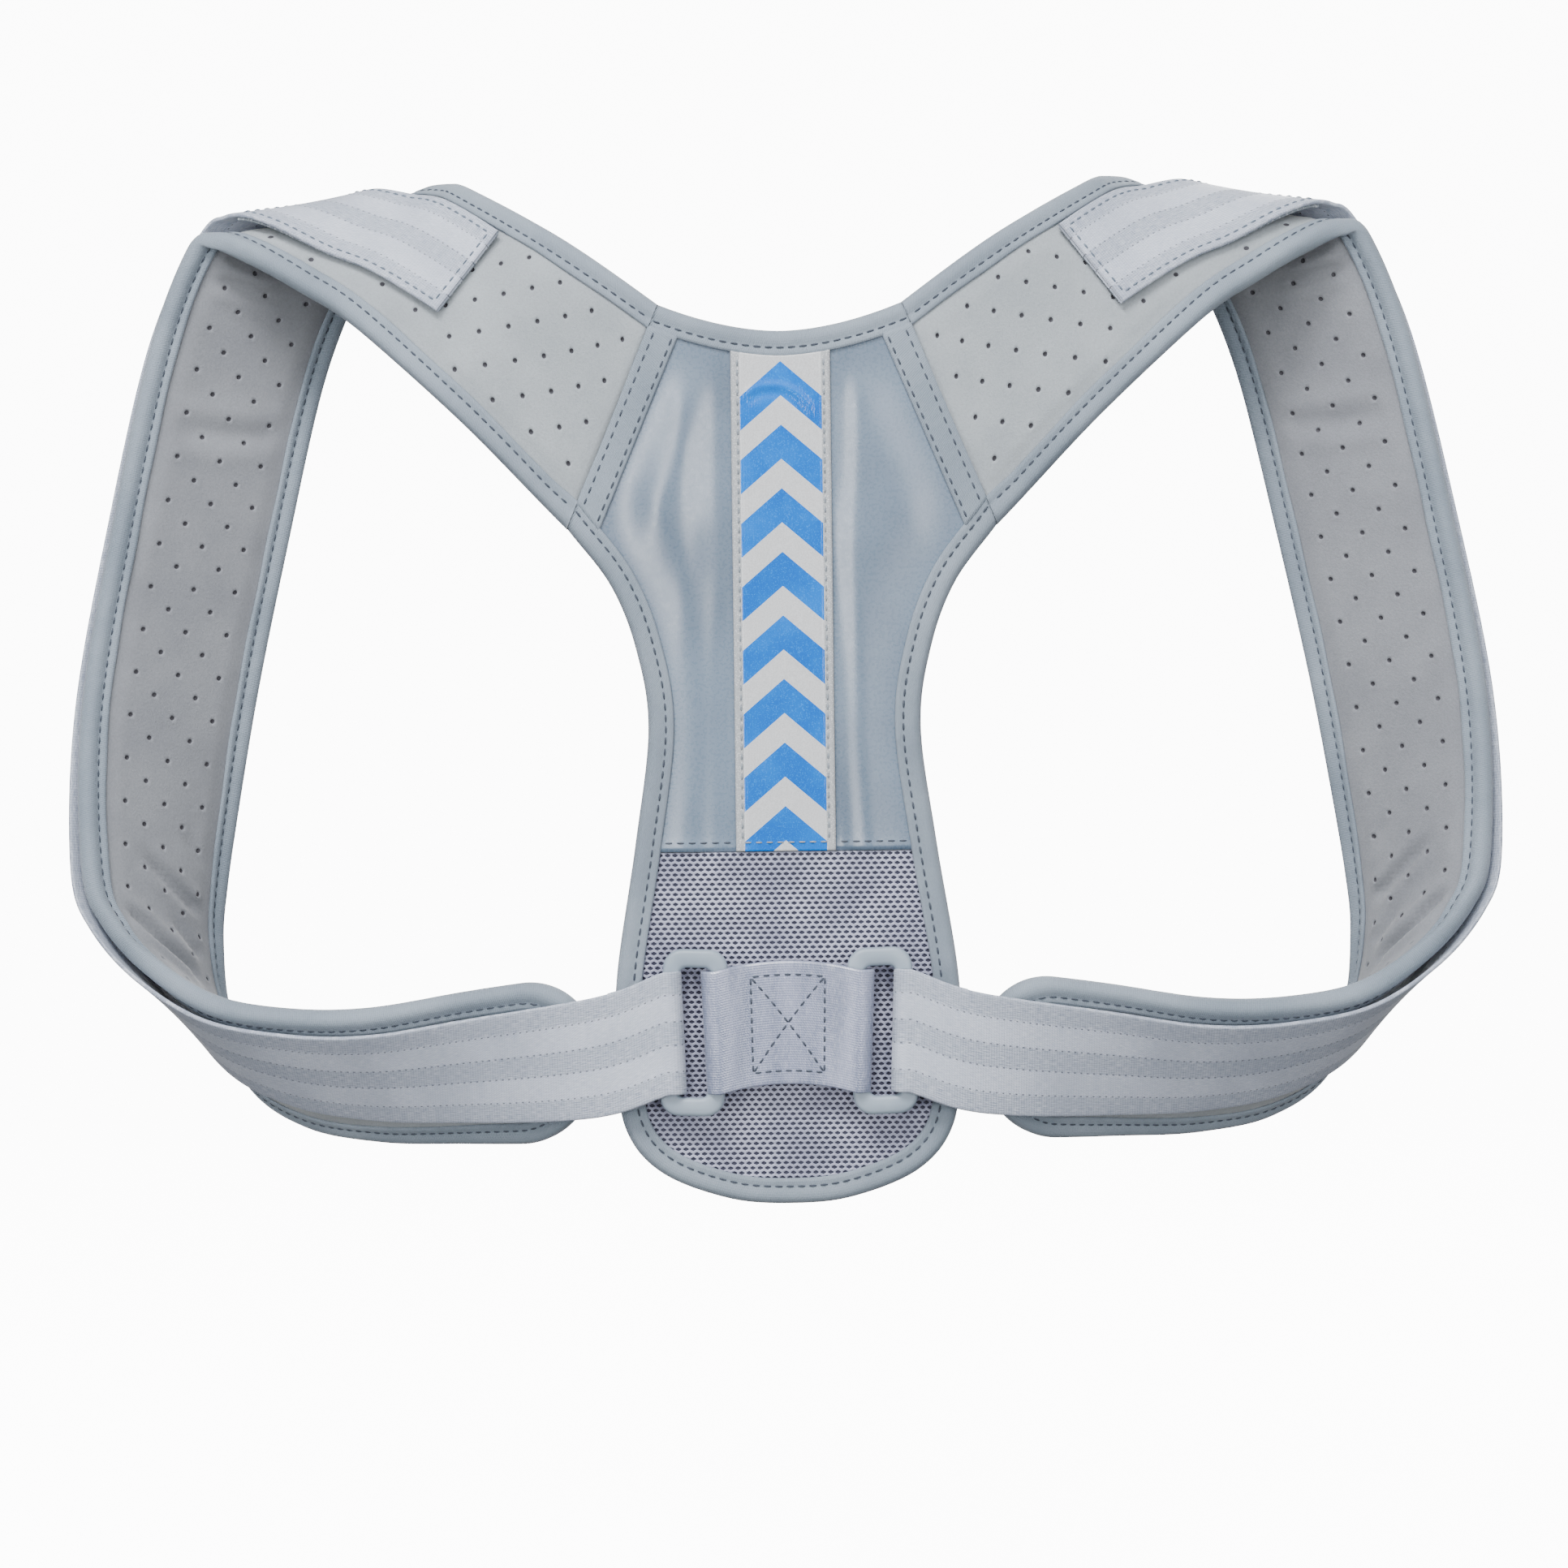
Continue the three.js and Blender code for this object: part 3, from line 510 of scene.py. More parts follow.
def mesh_strand():
    paint = Paint("mesh_strand", roughness=0.55)
    twist = paint.speckle(2600, detail=2)
    cloud = paint.speckle(60, detail=2)
    colour = paint.fade(cloud, 0.3, 0.7, shade(147, 150, 172), shade(179, 182, 203))
    paint.bump(twist, 0.00012, 0.6)
    return paint.done(colour, paint.between(twist, 0.2, 0.8, 0.4, 0.65))


def plain_dark(name, colour, roughness=0.95):
    paint = Paint(name, roughness=roughness, specular=0.1)
    speck = paint.speckle(1800, detail=2)
    return paint.done(paint.mix(speck, tuple(x * 0.6 for x in colour), colour))


CHEVRON_PITCH, CHEVRON_SLOPE, CHEVRON_BLUE, CHEVRON_TOP = 19.7, 0.86, 0.535, 78.9
PRINT_HALF = 12.7


def chevron_print():
    """Blue arrows on a silver ground, with a bare honeycomb border down each side. The light middles of the
    border's cells and the light specks in the blue are painted glints.
    """
    paint = Paint("chevron_print", roughness=0.5, specular=0.28)
    x, _, z = paint.parts(paint.object())
    off = paint.maths("ABSOLUTE", x)
    drop = paint.maths("MULTIPLY_ADD", off, CHEVRON_SLOPE, z)
    below = paint.maths("SUBTRACT", CHEVRON_TOP * MM, drop)
    share = paint.maths("FRACT", paint.maths("DIVIDE", below, CHEVRON_PITCH * MM))
    inked = paint.maths("LESS_THAN", share, CHEVRON_BLUE)
    started = paint.maths("GREATER_THAN", below, 0.0)
    within = paint.maths("LESS_THAN", off, PRINT_HALF * MM)
    ink = paint.times(paint.times(inked, started), within)
    cloud = paint.speckle(70, detail=4)
    grain = paint.speckle(2600, detail=2)
    honeycomb_and_glint = paint.cells(paint.object(), 1900)
    blue = paint.fade(cloud, 0.35, 0.75, (0.0, 0.115, 0.52), (0.0, 0.17, 0.64))
    # Light specks in the blue: painted glints.
    blue = paint.mix(paint.between(grain, 0.52, 0.72, 0.0, 0.45), blue, (0.02, 0.34, 0.95))
    silver = paint.fade(grain, 0.3, 0.7, shade(188, 190, 193), shade(204, 206, 209))
    # The border's cells are a real honeycomb pattern; their light middles are painted glints.
    border = paint.fade(honeycomb_and_glint, 0.1, 0.45, shade(216, 218, 220), shade(160, 164, 168))
    ground = paint.mix(within, border, silver)
    paint.bump(paint.waves(x, 0.0009), 0.00004, 0.5)
    paint.bump(grain, 0.00008, 0.4)
    edge = paint.between(honeycomb_and_glint, 0.05, 0.5, 0.25, 0.6)
    rough = paint.maths("MULTIPLY_ADD", within, -0.1, paint.between(grain, 0.3, 0.7, 0.42, 0.54))
    mixed = paint.node("ShaderNodeMix", data_type="FLOAT")
    for socket, value in zip(mixed.inputs, (within, edge, rough)):
        paint.join(value, socket)
    return paint.done(paint.mix(ink, ground, blue), mixed.outputs[0])


def webbing_paint():
    """Woven strap with plain ribbed stripes, satin stripes with toothed edges, and dotted lines between; its
    near-white streaks along the fibres are painted sheen.
    """
    paint = Paint("webbing", roughness=0.5)
    u, v, _ = paint.parts(paint.uv())
    off = paint.maths("ABSOLUTE", v)
    teeth = paint.times(paint.maths("PINGPONG", u, 0.0011), 0.55)
    shifted = paint.maths("ADD", off, teeth)
    inner = paint.between(shifted, 0.0036, 0.0044)
    outer = paint.between(shifted, 0.0120, 0.0128)
    satin = paint.times(inner, paint.maths("SUBTRACT", 1.0, outer))
    ribs = paint.waves(u, 0.00085)
    cross = paint.waves(v, 0.0007)
    diagonal = paint.waves(paint.maths("ADD", u, paint.times(v, 1.6)), 0.0012)
    fibre_and_sheen = paint.noise(paint.scaled(paint.uv(), 400, 4200), 1.0, detail=3)
    cloud = paint.speckle(40, detail=3)
    plain = paint.mix(paint.times(ribs, cross), shade(130, 139, 157), shade(172, 181, 199))
    bright = paint.mix(paint.times(diagonal, 0.6), shade(168, 176, 194), shade(200, 208, 224))
    colour = paint.mix(satin, plain, bright)
    # Near-white streaks along the fibres: painted sheen.
    colour = paint.mix(paint.between(fibre_and_sheen, 0.35, 0.75, 0.0, 0.55), colour, shade(232, 236, 244))
    colour = paint.mix(paint.between(cloud, 0.3, 0.75, 0.0, 0.4), colour, shade(140, 149, 166))
    line_in, line_out = (
        paint.maths("LESS_THAN", paint.maths("ABSOLUTE", paint.maths("SUBTRACT", off, line)), 0.00022)
        for line in (0.0036, 0.0118)
    )
    dots = paint.maths("LESS_THAN", paint.maths("FRACT", paint.maths("DIVIDE", u, 0.0022)), 0.3)
    dotted = paint.times(paint.maths("MAXIMUM", line_in, line_out), dots)
    colour = paint.mix(paint.times(dotted, 0.85), colour, shade(84, 88, 100))
    height = paint.maths("MULTIPLY_ADD", satin, paint.times(diagonal, 0.7), ribs)
    paint.bump(height, 0.00008, 0.7)
    paint.bump(fibre_and_sheen, 0.00006, 0.4)
    rough = paint.maths("MULTIPLY_ADD", satin, -0.24, 0.56)
    return paint.done(colour, rough, Sheen_Weight=0.2, Sheen_Roughness=0.3)


def band_paint():
    """The short band between the loops: a close satin weave without stripes, with light streaks along its
    fibres that are painted sheen.
    """
    paint = Paint("centre_webbing", roughness=0.34, specular=0.9)
    u, v, _ = paint.parts(paint.uv())
    ribs = paint.waves(v, 0.00075)
    steps = paint.waves(paint.maths("ADD", v, paint.times(u, 1.4)), 0.0011)
    fibre_and_sheen = paint.noise(paint.scaled(paint.uv(), 2600, 420), 1.0, detail=3)
    cloud = paint.noise(paint.scaled(paint.uv(), 150, 25), 1.0, detail=2)
    weave = paint.maths("MULTIPLY_ADD", steps, 0.5, ribs)
    colour = paint.fade(cloud, 0.3, 0.7, shade(114, 122, 147), shade(147, 153, 179))
    # Light streaks along the fibres: painted sheen.
    colour = paint.mix(paint.between(fibre_and_sheen, 0.4, 0.8, 0.0, 0.35), colour, shade(200, 205, 224))
    colour = paint.mix(paint.times(ribs, 0.2), colour, shade(120, 128, 148))
    paint.bump(weave, 0.00008, 0.7)
    paint.bump(fibre_and_sheen, 0.00006, 0.5)
    rough = paint.between(fibre_and_sheen, 0.2, 0.8, 0.14, 0.27)
    return paint.done(colour, rough, Sheen_Weight=0.2, Sheen_Roughness=0.3)


def hook_paint():
    paint = Paint("hook_tape", roughness=0.85, specular=0.3)
    loops = paint.cells(paint.object(), 1100)
    fuzz = paint.speckle(2400, detail=3)
    paint.bump(loops, 0.0003, 0.8)
    paint.bump(fuzz, 0.00015, 0.6)
    return paint.done(paint.fade(loops, 0.1, 0.6, shade(178, 184, 190), shade(120, 128, 136)))


def loop_plastic():
    paint = Paint("loop_plastic", roughness=0.42)
    cloud = paint.speckle(55, detail=3)
    fine = paint.speckle(2200, detail=2)
    colour = paint.fade(cloud, 0.3, 0.7, shade(132, 146, 160), shade(150, 163, 176))
    paint.bump(fine, 0.00004, 0.35)
    return paint.done(colour, paint.between(fine, 0.3, 0.7, 0.36, 0.5))


PAD = pad_fabric("pad_fabric", shade(167, 174, 179), shade(144, 151, 157))
# A darker copy of the pad fabric for the wearer-side face of the loops: painted shade, for the shade that
# falls inside the loops.
PAD_INSIDE_SHADED = pad_fabric("pad_inside_painted_shade", shade(142, 145, 151), shade(118, 121, 128))
CORE = pad_fabric("core_fabric", shade(156, 159, 164), shade(136, 139, 145))
# The dark floor of each perforation: painted shade.
PERFORATION_SHADE = plain_dark("perforation_painted_shade", shade(92, 92, 98))
TAPE = ribbed_tape("binding_tape", shade(139, 150, 162), shade(107, 119, 132))
THREAD = thread_paint("stitch_thread", shade(64, 73, 86))
TAB_THREAD = thread_paint("tab_thread", shade(104, 118, 134))
PALE_THREAD = thread_paint("pale_thread", shade(150, 160, 170))
LEATHER = leatherette()
STRAND = mesh_strand()
# The dark floor of each mesh hole: painted shade.
MESH_HOLE_SHADE = plain_dark("mesh_hole_painted_shade", shade(84, 85, 101))
CHEVRON = chevron_print()
WEBBING = webbing_paint()
BAND = band_paint()
HOOK = hook_paint()
PLASTIC = loop_plastic()


# The shoulder loop as a surface: travel from the seam, side from its middle, height outwards

SEAM_LOW = np.array([-YOKE_HALF, SEAM_RISE])
SEAM_HIGH = np.array([-NECK_HALF, PANEL_ABOVE])
SEAM_LINE = unit(SEAM_HIGH - SEAM_LOW)
SEAM_IN = np.array([SEAM_LINE[1], -SEAM_LINE[0]])
SEAM_START = (SEAM_LOW + SEAM_HIGH) / 2 - SEAM_IN * GAP

ROW_MIDDLES = np.stack([
    SEAM_START[0] - LOOP[:, 0] * LOOP_REACH,
    PANEL_MIDDLE + LOOP[:, 1] * LOOP_DEPTH,
    SEAM_START[1] + LOOP[:, 2] * np.where(LOOP[:, 2] > 0, LOOP_RISE, LOOP_DROP),
], axis=1)
ROW_MIDDLES = np.vstack([ROW_MIDDLES, (-RING_REACH - BAR_OFFSET, RING_Y, -BELT_DROP)])
SWING, TILT = np.radians(LOOP[:, 3]), np.radians(LOOP[:, 4])
DIRECTIONS = np.stack([np.cos(TILT) * np.cos(SWING), np.cos(TILT) * np.sin(SWING), np.sin(TILT)], axis=1)
DIRECTIONS[0] = (SEAM_LINE[0], 0, SEAM_LINE[1])
DIRECTIONS = np.vstack([DIRECTIONS, (math.sin(LEAN), 0, -math.cos(LEAN))])
LAST = len(ROW_MIDDLES) - 1
WIDTHS = np.append(LOOP[:, 5], LOOP[-1, 5]) * STRAP_WIDTH
WIDTHS[0] = np.linalg.norm(SEAM_HIGH - SEAM_LOW)
LIFTS = np.append(STRAP_THICKNESS * (0.5 + LOOP[:, 6]), ROLL_INSIDE)
LIFTS[7:16] -= (0.4, 0.5, 0.5, 0.7, 1.1, 1.6, 1.6, 1.2, 0.6)
SHIFTS = np.append(LOOP[:, 7], 0) * WEB_WIDTH

PLACES = np.linspace(0, LAST, LAST * 60 + 1)
TRAVEL = lengths_along(smooth(ROW_MIDDLES, PLACES))


def place_at(travel):
    return np.interp(travel, TRAVEL, PLACES)


def travel_at(place):
    return np.interp(place, PLACES, TRAVEL)


def frame_at(place):
    step = 1e-3
    low, high = np.maximum(place - step, 0), np.minimum(place + step, LAST)
    forward = unit(smooth(ROW_MIDDLES, high) - smooth(ROW_MIDDLES, low))
    across = unit(smooth(DIRECTIONS, place))
    return smooth(ROW_MIDDLES, place), forward, across, unit(np.cross(across, forward))


def on_loop(travel, side, height):
    travel, side, height = np.broadcast_arrays(travel, side, height)
    middle, _, across, out = frame_at(place_at(np.asarray(travel, float)))
    return middle + across * side[..., None] + out * height[..., None]


FINE_PLACES = np.linspace(LAST - 4, LAST, 4001)
TIP = travel_at(FINE_PLACES[np.argmax(smooth(ROW_MIDDLES, FINE_PLACES)[:, 0] > -TIP_REACH)])
TIP_START = TIP - TIP_LENGTH


def width_half(travel):
    return smooth(WIDTHS, place_at(travel)) / 2


def edge_line(step):
    """The pad's near edge from the seam to its tip: travel, half width and the inward direction."""
    straight = np.arange(0, TIP_START, step)
    turns = np.linspace(0, math.pi / 2, int(1.57 * TIP_LENGTH / step) + 1)
    travel = np.concatenate([straight, TIP_START + TIP_LENGTH * np.sin(turns)])
    share = np.concatenate([np.ones(len(straight)), np.cos(turns)])
    points = resampled(np.stack([travel, width_half(travel) * share], axis=1), len(travel))
    heading = unit(np.gradient(points, axis=0))
    heading[-1] = (0, -1)
    inward = np.stack([heading[:, 1], -heading[:, 0]], axis=1)
    inward[:, 0] *= ease(0, 14, points[:, 0])
    return points, inward


def inset_half(travel, inset):
    points, inward = edge_line(1.0)
    moved = points + inward * inset
    return np.interp(travel, moved[:, 0], moved[:, 1])


def edge_distance(travel, side):
    half = width_half(travel)
    into = np.clip((travel - TIP_START) / TIP_LENGTH, 0, 1)
    rounded = (1 - np.hypot(side / half, into)) * TIP_LENGTH
    return np.where(into > 0, rounded, half - np.abs(side))


# Shoulder pad

CELL = 1.75
HOLE_EVERY = 4
COLUMNS = 21
EDGE_STRIP = 5.6
# Perforations: radius and height of each ring of points, then where they may lie and how deep they are
HOLE_RINGS = [(1.3, 0.1), (0.78, -0.3), (0.6, -0.95)]
HOLE_MARGIN, HOLE_START, HOLE_STOP, HOLE_DEPTH = 10.3, 4, 14, 1.2
HOLE_CORNERS = [(-1, -1), (0, -1), (1, -1), (1, 0), (1, 1), (0, 1), (-1, 1), (-1, 0)]
# The slots of the pad: its outer cloth, painted shade in the perforations, and the cloth of its wearer-side
# face, painted darker as shade.
OUTER_CLOTH, HOLE_SHADE_CLOTH, INNER_SHADED_CLOTH = 0, 1, 2

# The pad's crown: height at its edge, then each rise and the distances from the edge it runs over
PAD_EDGE_HEIGHT = 1.8
PAD_CROWN = [(0.45, 6, 8), (1.05, 8, 13.5), (0.4, 13, 28)]

# Creases of the inner face: from (travel, side) to (travel, side), depth and width
CREASES = [
    (141, -25, 145, 6, 2.4, 2.1),
    (150, -24, 153, 16, 1.5, 2.3),
    (201, -20, 198, 24, 1.1, 3.2),
    (338, -8, 358, 19, 2.3, 1.9),
    (353, -21, 381, 8, 3.2, 2.2),
    (359, 2, 371, 15, 1.6, 1.8),
    (330, 8, 343, 20, 0.9, 2.0),
]


def crease_depth(travel, side):
    """A rounded groove along each crease, with a low swelling on both sides of it."""
    total = np.zeros(np.broadcast(travel, side).shape)
    for t0, s0, t1, s1, depth, width in CREASES:
        run = np.array([t1 - t0, s1 - s0], float)
        share = ((travel - t0) * run[0] + (side - s0) * run[1]) / (run @ run)
        held = np.clip(share, 0, 1)
        bend = 1.5 * np.sin(held * math.pi)
        gap = np.hypot(travel - t0 - held * run[0] - bend, side - s0 - held * run[1])
        fade = np.clip(1.4 * np.sin(math.pi * np.clip(share, 0.02, 0.98)), 0, 1)
        groove, swelling = np.exp(-(gap / width) ** 2), np.exp(-((gap - 2.2 * width) / width) ** 2)
        total += depth * fade * (groove - 0.45 * swelling)
    return total


def pad_height(travel, side, face):
    """How far a face of the pad stands from its middle. face is 1 outside and -1 on the wearer's side."""
    inside = edge_distance(travel, side)
    crown = sum((rise * ease(low, high, inside) for rise, low, high in PAD_CROWN), PAD_EDGE_HEIGHT)
    crown = crown - 0.7 * (1 - ease(0, 3.5, travel)) * ease(8, 12, inside)
    free = ease(9, 16, inside)
    wave = 0.22 * ripple(travel, side, 42, 11 + face) * free
    if face < 0:
        crown = crown - crease_depth(travel, side) * free
    return face * crown + wave


def pad_rows():
    end = TIP - BINDING_DEPTH
    even = np.arange(0, end - 6, CELL)
    return np.concatenate([even, end - np.array([4.6, 3.4, 2.4, 1.6, 1.0, 0.5, 0.2, 0.05, 0])])


def pad_grid():
    """Travel and side of the pad's points. The columns are even inside and drawn together at the edge."""
    rows = pad_rows()
    reach = inset_half(rows, BINDING_DEPTH)
    reach[-1] = 0
    free = np.maximum(reach - EDGE_STRIP, 0)[:, None]
    nominal = np.arange(-COLUMNS, COLUMNS + 1) * CELL
    size = np.abs(nominal)[None]
    beyond = free + (size - free) * (reach[:, None] - free) / (COLUMNS * CELL - free)
    sides = np.sign(nominal)[None] * np.where(size <= free, size, beyond)
    return np.broadcast_to(rows[:, None], sides.shape), sides, free[:, 0]


def pad_holes(rows, free):
    """The grid points at the middles of the perforations, which lie in staggered rows."""
    holes = []
    for i in range(0, len(rows) - 12, HOLE_EVERY):
        for j in range(-COLUMNS + COLUMNS % HOLE_EVERY, COLUMNS, HOLE_EVERY):
            skipped = (i // HOLE_EVERY + j // HOLE_EVERY) % 2
            bare = edge_distance(rows[i], j * CELL) > HOLE_MARGIN and abs(j * CELL) + CELL < free[i]
            if bare and not skipped and HOLE_START < rows[i] < TIP - HOLE_STOP:
                holes.append((i, j + COLUMNS))
    return holes


def pad_face(shape, face, travels, sides, holes, surface):
    """One face of the pad with its perforations, and the number of its first point."""
    count = sides.shape[1]
    at = tuple(np.transpose(holes))
    heights = pad_height(travels, sides, face)
    heights[at] -= face * HOLE_DEPTH
    # The wearer-side face takes the darker copy of the pad fabric, which is painted shade.
    cloth = OUTER_CLOTH if face > 0 else INNER_SHADED_CLOTH
    first_face = len(shape.faces)
    start = shape.add(on_loop(travels, sides, heights), surface, np.stack([travels, sides], axis=-1), cloth)
    angles = np.arctan2([b for _, b in HOLE_CORNERS], [a for a, _ in HOLE_CORNERS])
    levels = []
    for radius, depth in HOLE_RINGS:
        t = travels[at][:, None] + radius * np.cos(angles)
        s = sides[at][:, None] + radius * np.sin(angles)
        top = pad_height(t, s, face) + face * depth
        levels.append(shape.add(on_loop(t, s, top), uvs=np.stack([t, s], axis=-1)))
    for n, (i, j) in enumerate(holes):
        centre = start + i * count + j
        rings = [[centre + a * count + b for a, b in HOLE_CORNERS]]
        rings += [[level + n * 8 + k for k in range(8)] for level in levels]
        # The deepest ring and the floor of each hole take the painted shade.
        for depth, (one, two) in enumerate(zip(rings, rings[1:])):
            shape.join(ring_faces(one, two), slot=HOLE_SHADE_CLOTH if depth == 2 else cloth)
        floor = rings[-1]
        shape.join([[a, b, centre] for a, b in zip(floor, floor[1:] + floor[:1])], slot=HOLE_SHADE_CLOTH)
    if face < 0:
        shape.faces[first_face:] = [corners[::-1] for corners in shape.faces[first_face:]]
    return start


def shoulder_pad():
    shape = Shape()
    travels, sides, free = pad_grid()
    rows, count = sides.shape
    holes = pad_holes(travels[:, 0], free)
    taken = {(i + a, j + b) for i, j in holes for a in (-1, 0) for b in (-1, 0)}
    quads = enumerate(grid_faces(rows, count))
    surface = [quad for n, quad in quads if divmod(n, count - 1) not in taken]
    one, two = (pad_face(shape, face, travels, sides, holes, surface) for face in (1, -1))
    walls = []
    for column in (0, count - 1):
        for a in range(column, (rows - 1) * count, count):
            b = a + count
            quad = [one + a, one + b, two + b, two + a]
            walls.append(quad if column else quad[::-1])
    walls += [[one + j, one + j + 1, two + j + 1, two + j] for j in range(count - 1)]
    shape.join(walls)
    return shape


# Binding: inset from the edge and height from the middle, from the outer lip round to the inner lip

BINDING_SECTION = [
    (8.05, 2.3), (8.2, 2.72), (7.85, 3.1), (7.1, 3.24), (6.3, 3.14), (5.6, 2.9), (4.9, 3.08), (3.7, 3.38),
    (2.3, 3.32), (1.15, 2.75), (0.38, 1.65), (0.02, 0.0), (0.38, -1.65), (1.15, -2.75), (2.3, -3.3),
    (3.7, -3.3), (4.9, -2.75), (5.6, -2.25), (6.2, -2.85), (7.0, -3.3), (7.8, -3.2), (8.2, -2.75),
    (8.05, -2.2), (3.0, -2.1), (1.0, -1.0), (1.0, 1.0), (3.0, 2.1),
]
OUTERMOST = 11  # the section's point on the edge itself
PUCKER = 0.16

# How far a binding runs past the seam, on the panel and on the strap
SEAM_OVERLAP, STRAP_OVERLAP = 0.3, 0.12


def puckered(inset, height, along):
    """The section's height where the stitches pull the tape in, and a little unevenness in its lip."""
    near = np.exp(-((inset - STITCH_INSET) / 1.7) ** 2)
    pull = PUCKER * near * (0.5 + 0.5 * np.cos(2 * math.pi * along / STITCH_PITCH))
    scale = 1 - pull / 3 + 0.02 * np.sin(along / 9.0)
    return height * np.where(abs(height) > 2.2, scale, 1)


def seam_shares():
    """How much wider the lip is along the seam than square to the panel's edge, at its low and high end."""
    headings = [unit(line[-1] - line[-6]) for line in (LOWER_LINE[:40][::-1], NECK_LINE[-40:])]
    return [1 / abs(np.cross(heading, SEAM_LINE)) for heading in headings]


def strap_edge():
    """Travel and side along the whole bound edge, near side first, and the inward direction there."""
    points, inward = edge_line(1.17)
    line = np.vstack([points * (1, -1), points[::-1][1:]])
    return line, np.vstack([inward * (1, -1), inward[::-1][1:]])


def strap_section_points(inset, height):
    """The line that one point of the binding's section follows along the strap's edge."""
    line, into = strap_edge()
    low, high = seam_shares()
    along = lengths_along(line)
    share = np.where(line[:, 1] < 0, low, high)
    share = 1 + (share - 1) * (1 - ease(0, 12, line[:, 0]))
    lip = inset + 0.12 * np.sin(along / 5.3) * (inset > 7)
    moved = line + into * (lip * share)[:, None]
    travel = np.maximum(moved[:, 0], 0) - STRAP_OVERLAP * (line[:, 0] < 0.6)
    return on_loop(travel, moved[:, 1], puckered(inset, height, along))


def bound_edge(lines):
    """A folded binding, from the line that each point of its section follows."""
    rings = np.stack(lines, axis=1)
    girth = np.cumsum([0] + [math.dist(a, b) for a, b in zip(BINDING_SECTION, BINDING_SECTION[1:])])
    return tube(rings, weave_at(lengths_along(rings[:, OUTERMOST]), girth))


def strap_binding():
    return bound_edge([strap_section_points(inset, height) for inset, height in BINDING_SECTION])


def strap_stitches():
    shape = Shape()
    out = frame_at(place_at(strap_edge()[0][:, 0]))[3]
    for height, sign in ((3.0, 1), (-2.37, -1)):
        line = strap_section_points(STITCH_INSET, height)
        stitches(shape, line[2:-2], sign * out[2:-2])
    return shape


# Back panel: its edges in the plane of the panel, as (x, z)

def lower_line():
    rows = [(-half * YOKE_HALF, -fall * PANEL_BELOW) for fall, half in LOWER_EDGE]
    left = [tuple(SEAM_LOW), *rows, (0, -PANEL_BELOW)]
    full = left + [(-x, z) for x, z in left[:-1][::-1]]
    curve = smooth(np.array(full), np.linspace(0, len(full) - 1, 1600))
    return resampled(curve, 440)


def neck_line():
    share = np.linspace(1, -1, 400)
    dip = NECK_DIP * (1 - np.abs(share) ** 1.8)
    return resampled(np.stack([share * NECK_HALF, PANEL_ABOVE - dip], axis=1), 80)


LOWER_LINE, NECK_LINE = lower_line(), neck_line()


def seam_distance(x, z):
    """How far inside the nearer seam each point lies."""
    points = np.stack([x, z], axis=-1)
    return np.minimum((points - SEAM_LOW) @ SEAM_IN, (points * (-1, 1) - SEAM_LOW) @ SEAM_IN)


def edge_run(line, inset, clear=-SEAM_OVERLAP):
    """An edge of the panel moved inwards and cut at the seams, with as many points as before."""
    heading = unit(np.gradient(line, axis=0))
    moved = line + np.stack([-heading[:, 1], heading[:, 0]], axis=1) * inset
    moved = np.vstack([moved[0] - heading[0] * 15, moved, moved[-1] + heading[-1] * 15])
    dense = resampled(moved, 6 * len(line))
    inside = np.flatnonzero(seam_distance(*dense.T) >= clear)
    return resampled(dense[inside[0]:inside[-1] + 1], len(line))


def panel_binding(line):
    lines = []
    for inset, height in BINDING_SECTION:
        x, z = edge_run(line, inset).T
        level = puckered(inset, height, lengths_along(np.stack([x, z], axis=1)))
        lines.append(points_at(x, PANEL_MIDDLE - level * (PANEL_MIDDLE - LIP_FRONT) / 3.2, z))
    return bound_edge(lines)


def panel_stitches():
    shape = Shape()
    for line in (LOWER_LINE, NECK_LINE):
        x, z = edge_run(line, STITCH_INSET).T
        for height, sign in ((-2.97, -1), (2.35, 1)):
            stitches(shape, points_at(x, PANEL_MIDDLE + height, z), (0, sign, 0))
    return shape


def bound_distance(x, z):
    """Distance from points of the panel to its bound edges, worked out in blocks to save memory."""
    points = np.stack([np.ravel(x), np.ravel(z)], axis=1)
    edges = np.vstack([LOWER_LINE, NECK_LINE])
    near = np.full(len(points), np.inf)
    for begin in range(0, len(edges), 40):
        gaps = points[:, None] - edges[None, begin:begin + 40]
        near = np.minimum(near, np.hypot(gaps[..., 0], gaps[..., 1]).min(1))
    return near.reshape(np.shape(x))


def panel_half(z, inset):
    """Half the panel's width at each height, inside its bound edge by inset."""
    run = edge_run(LOWER_LINE, inset, clear=0)
    left = run[: len(run) // 2 + 1]
    order = np.argsort(left[:, 1])
    low = np.interp(z, left[order, 1], left[order, 0])
    low = np.where(z > left[:, 1].max(), -1e9, low)
    seam = SEAM_LOW[0] + GAP / 2 + (z - SEAM_LOW[1]) * SEAM_LINE[0] / SEAM_LINE[1]
    seam = np.where(z < SEAM_RISE - 6, -1e9, seam)
    return -np.maximum(low, seam)


def neck_dip(x):
    return NECK_DIP * (1 - np.clip(np.abs(x) / NECK_HALF, 0, 1) ** 1.8)


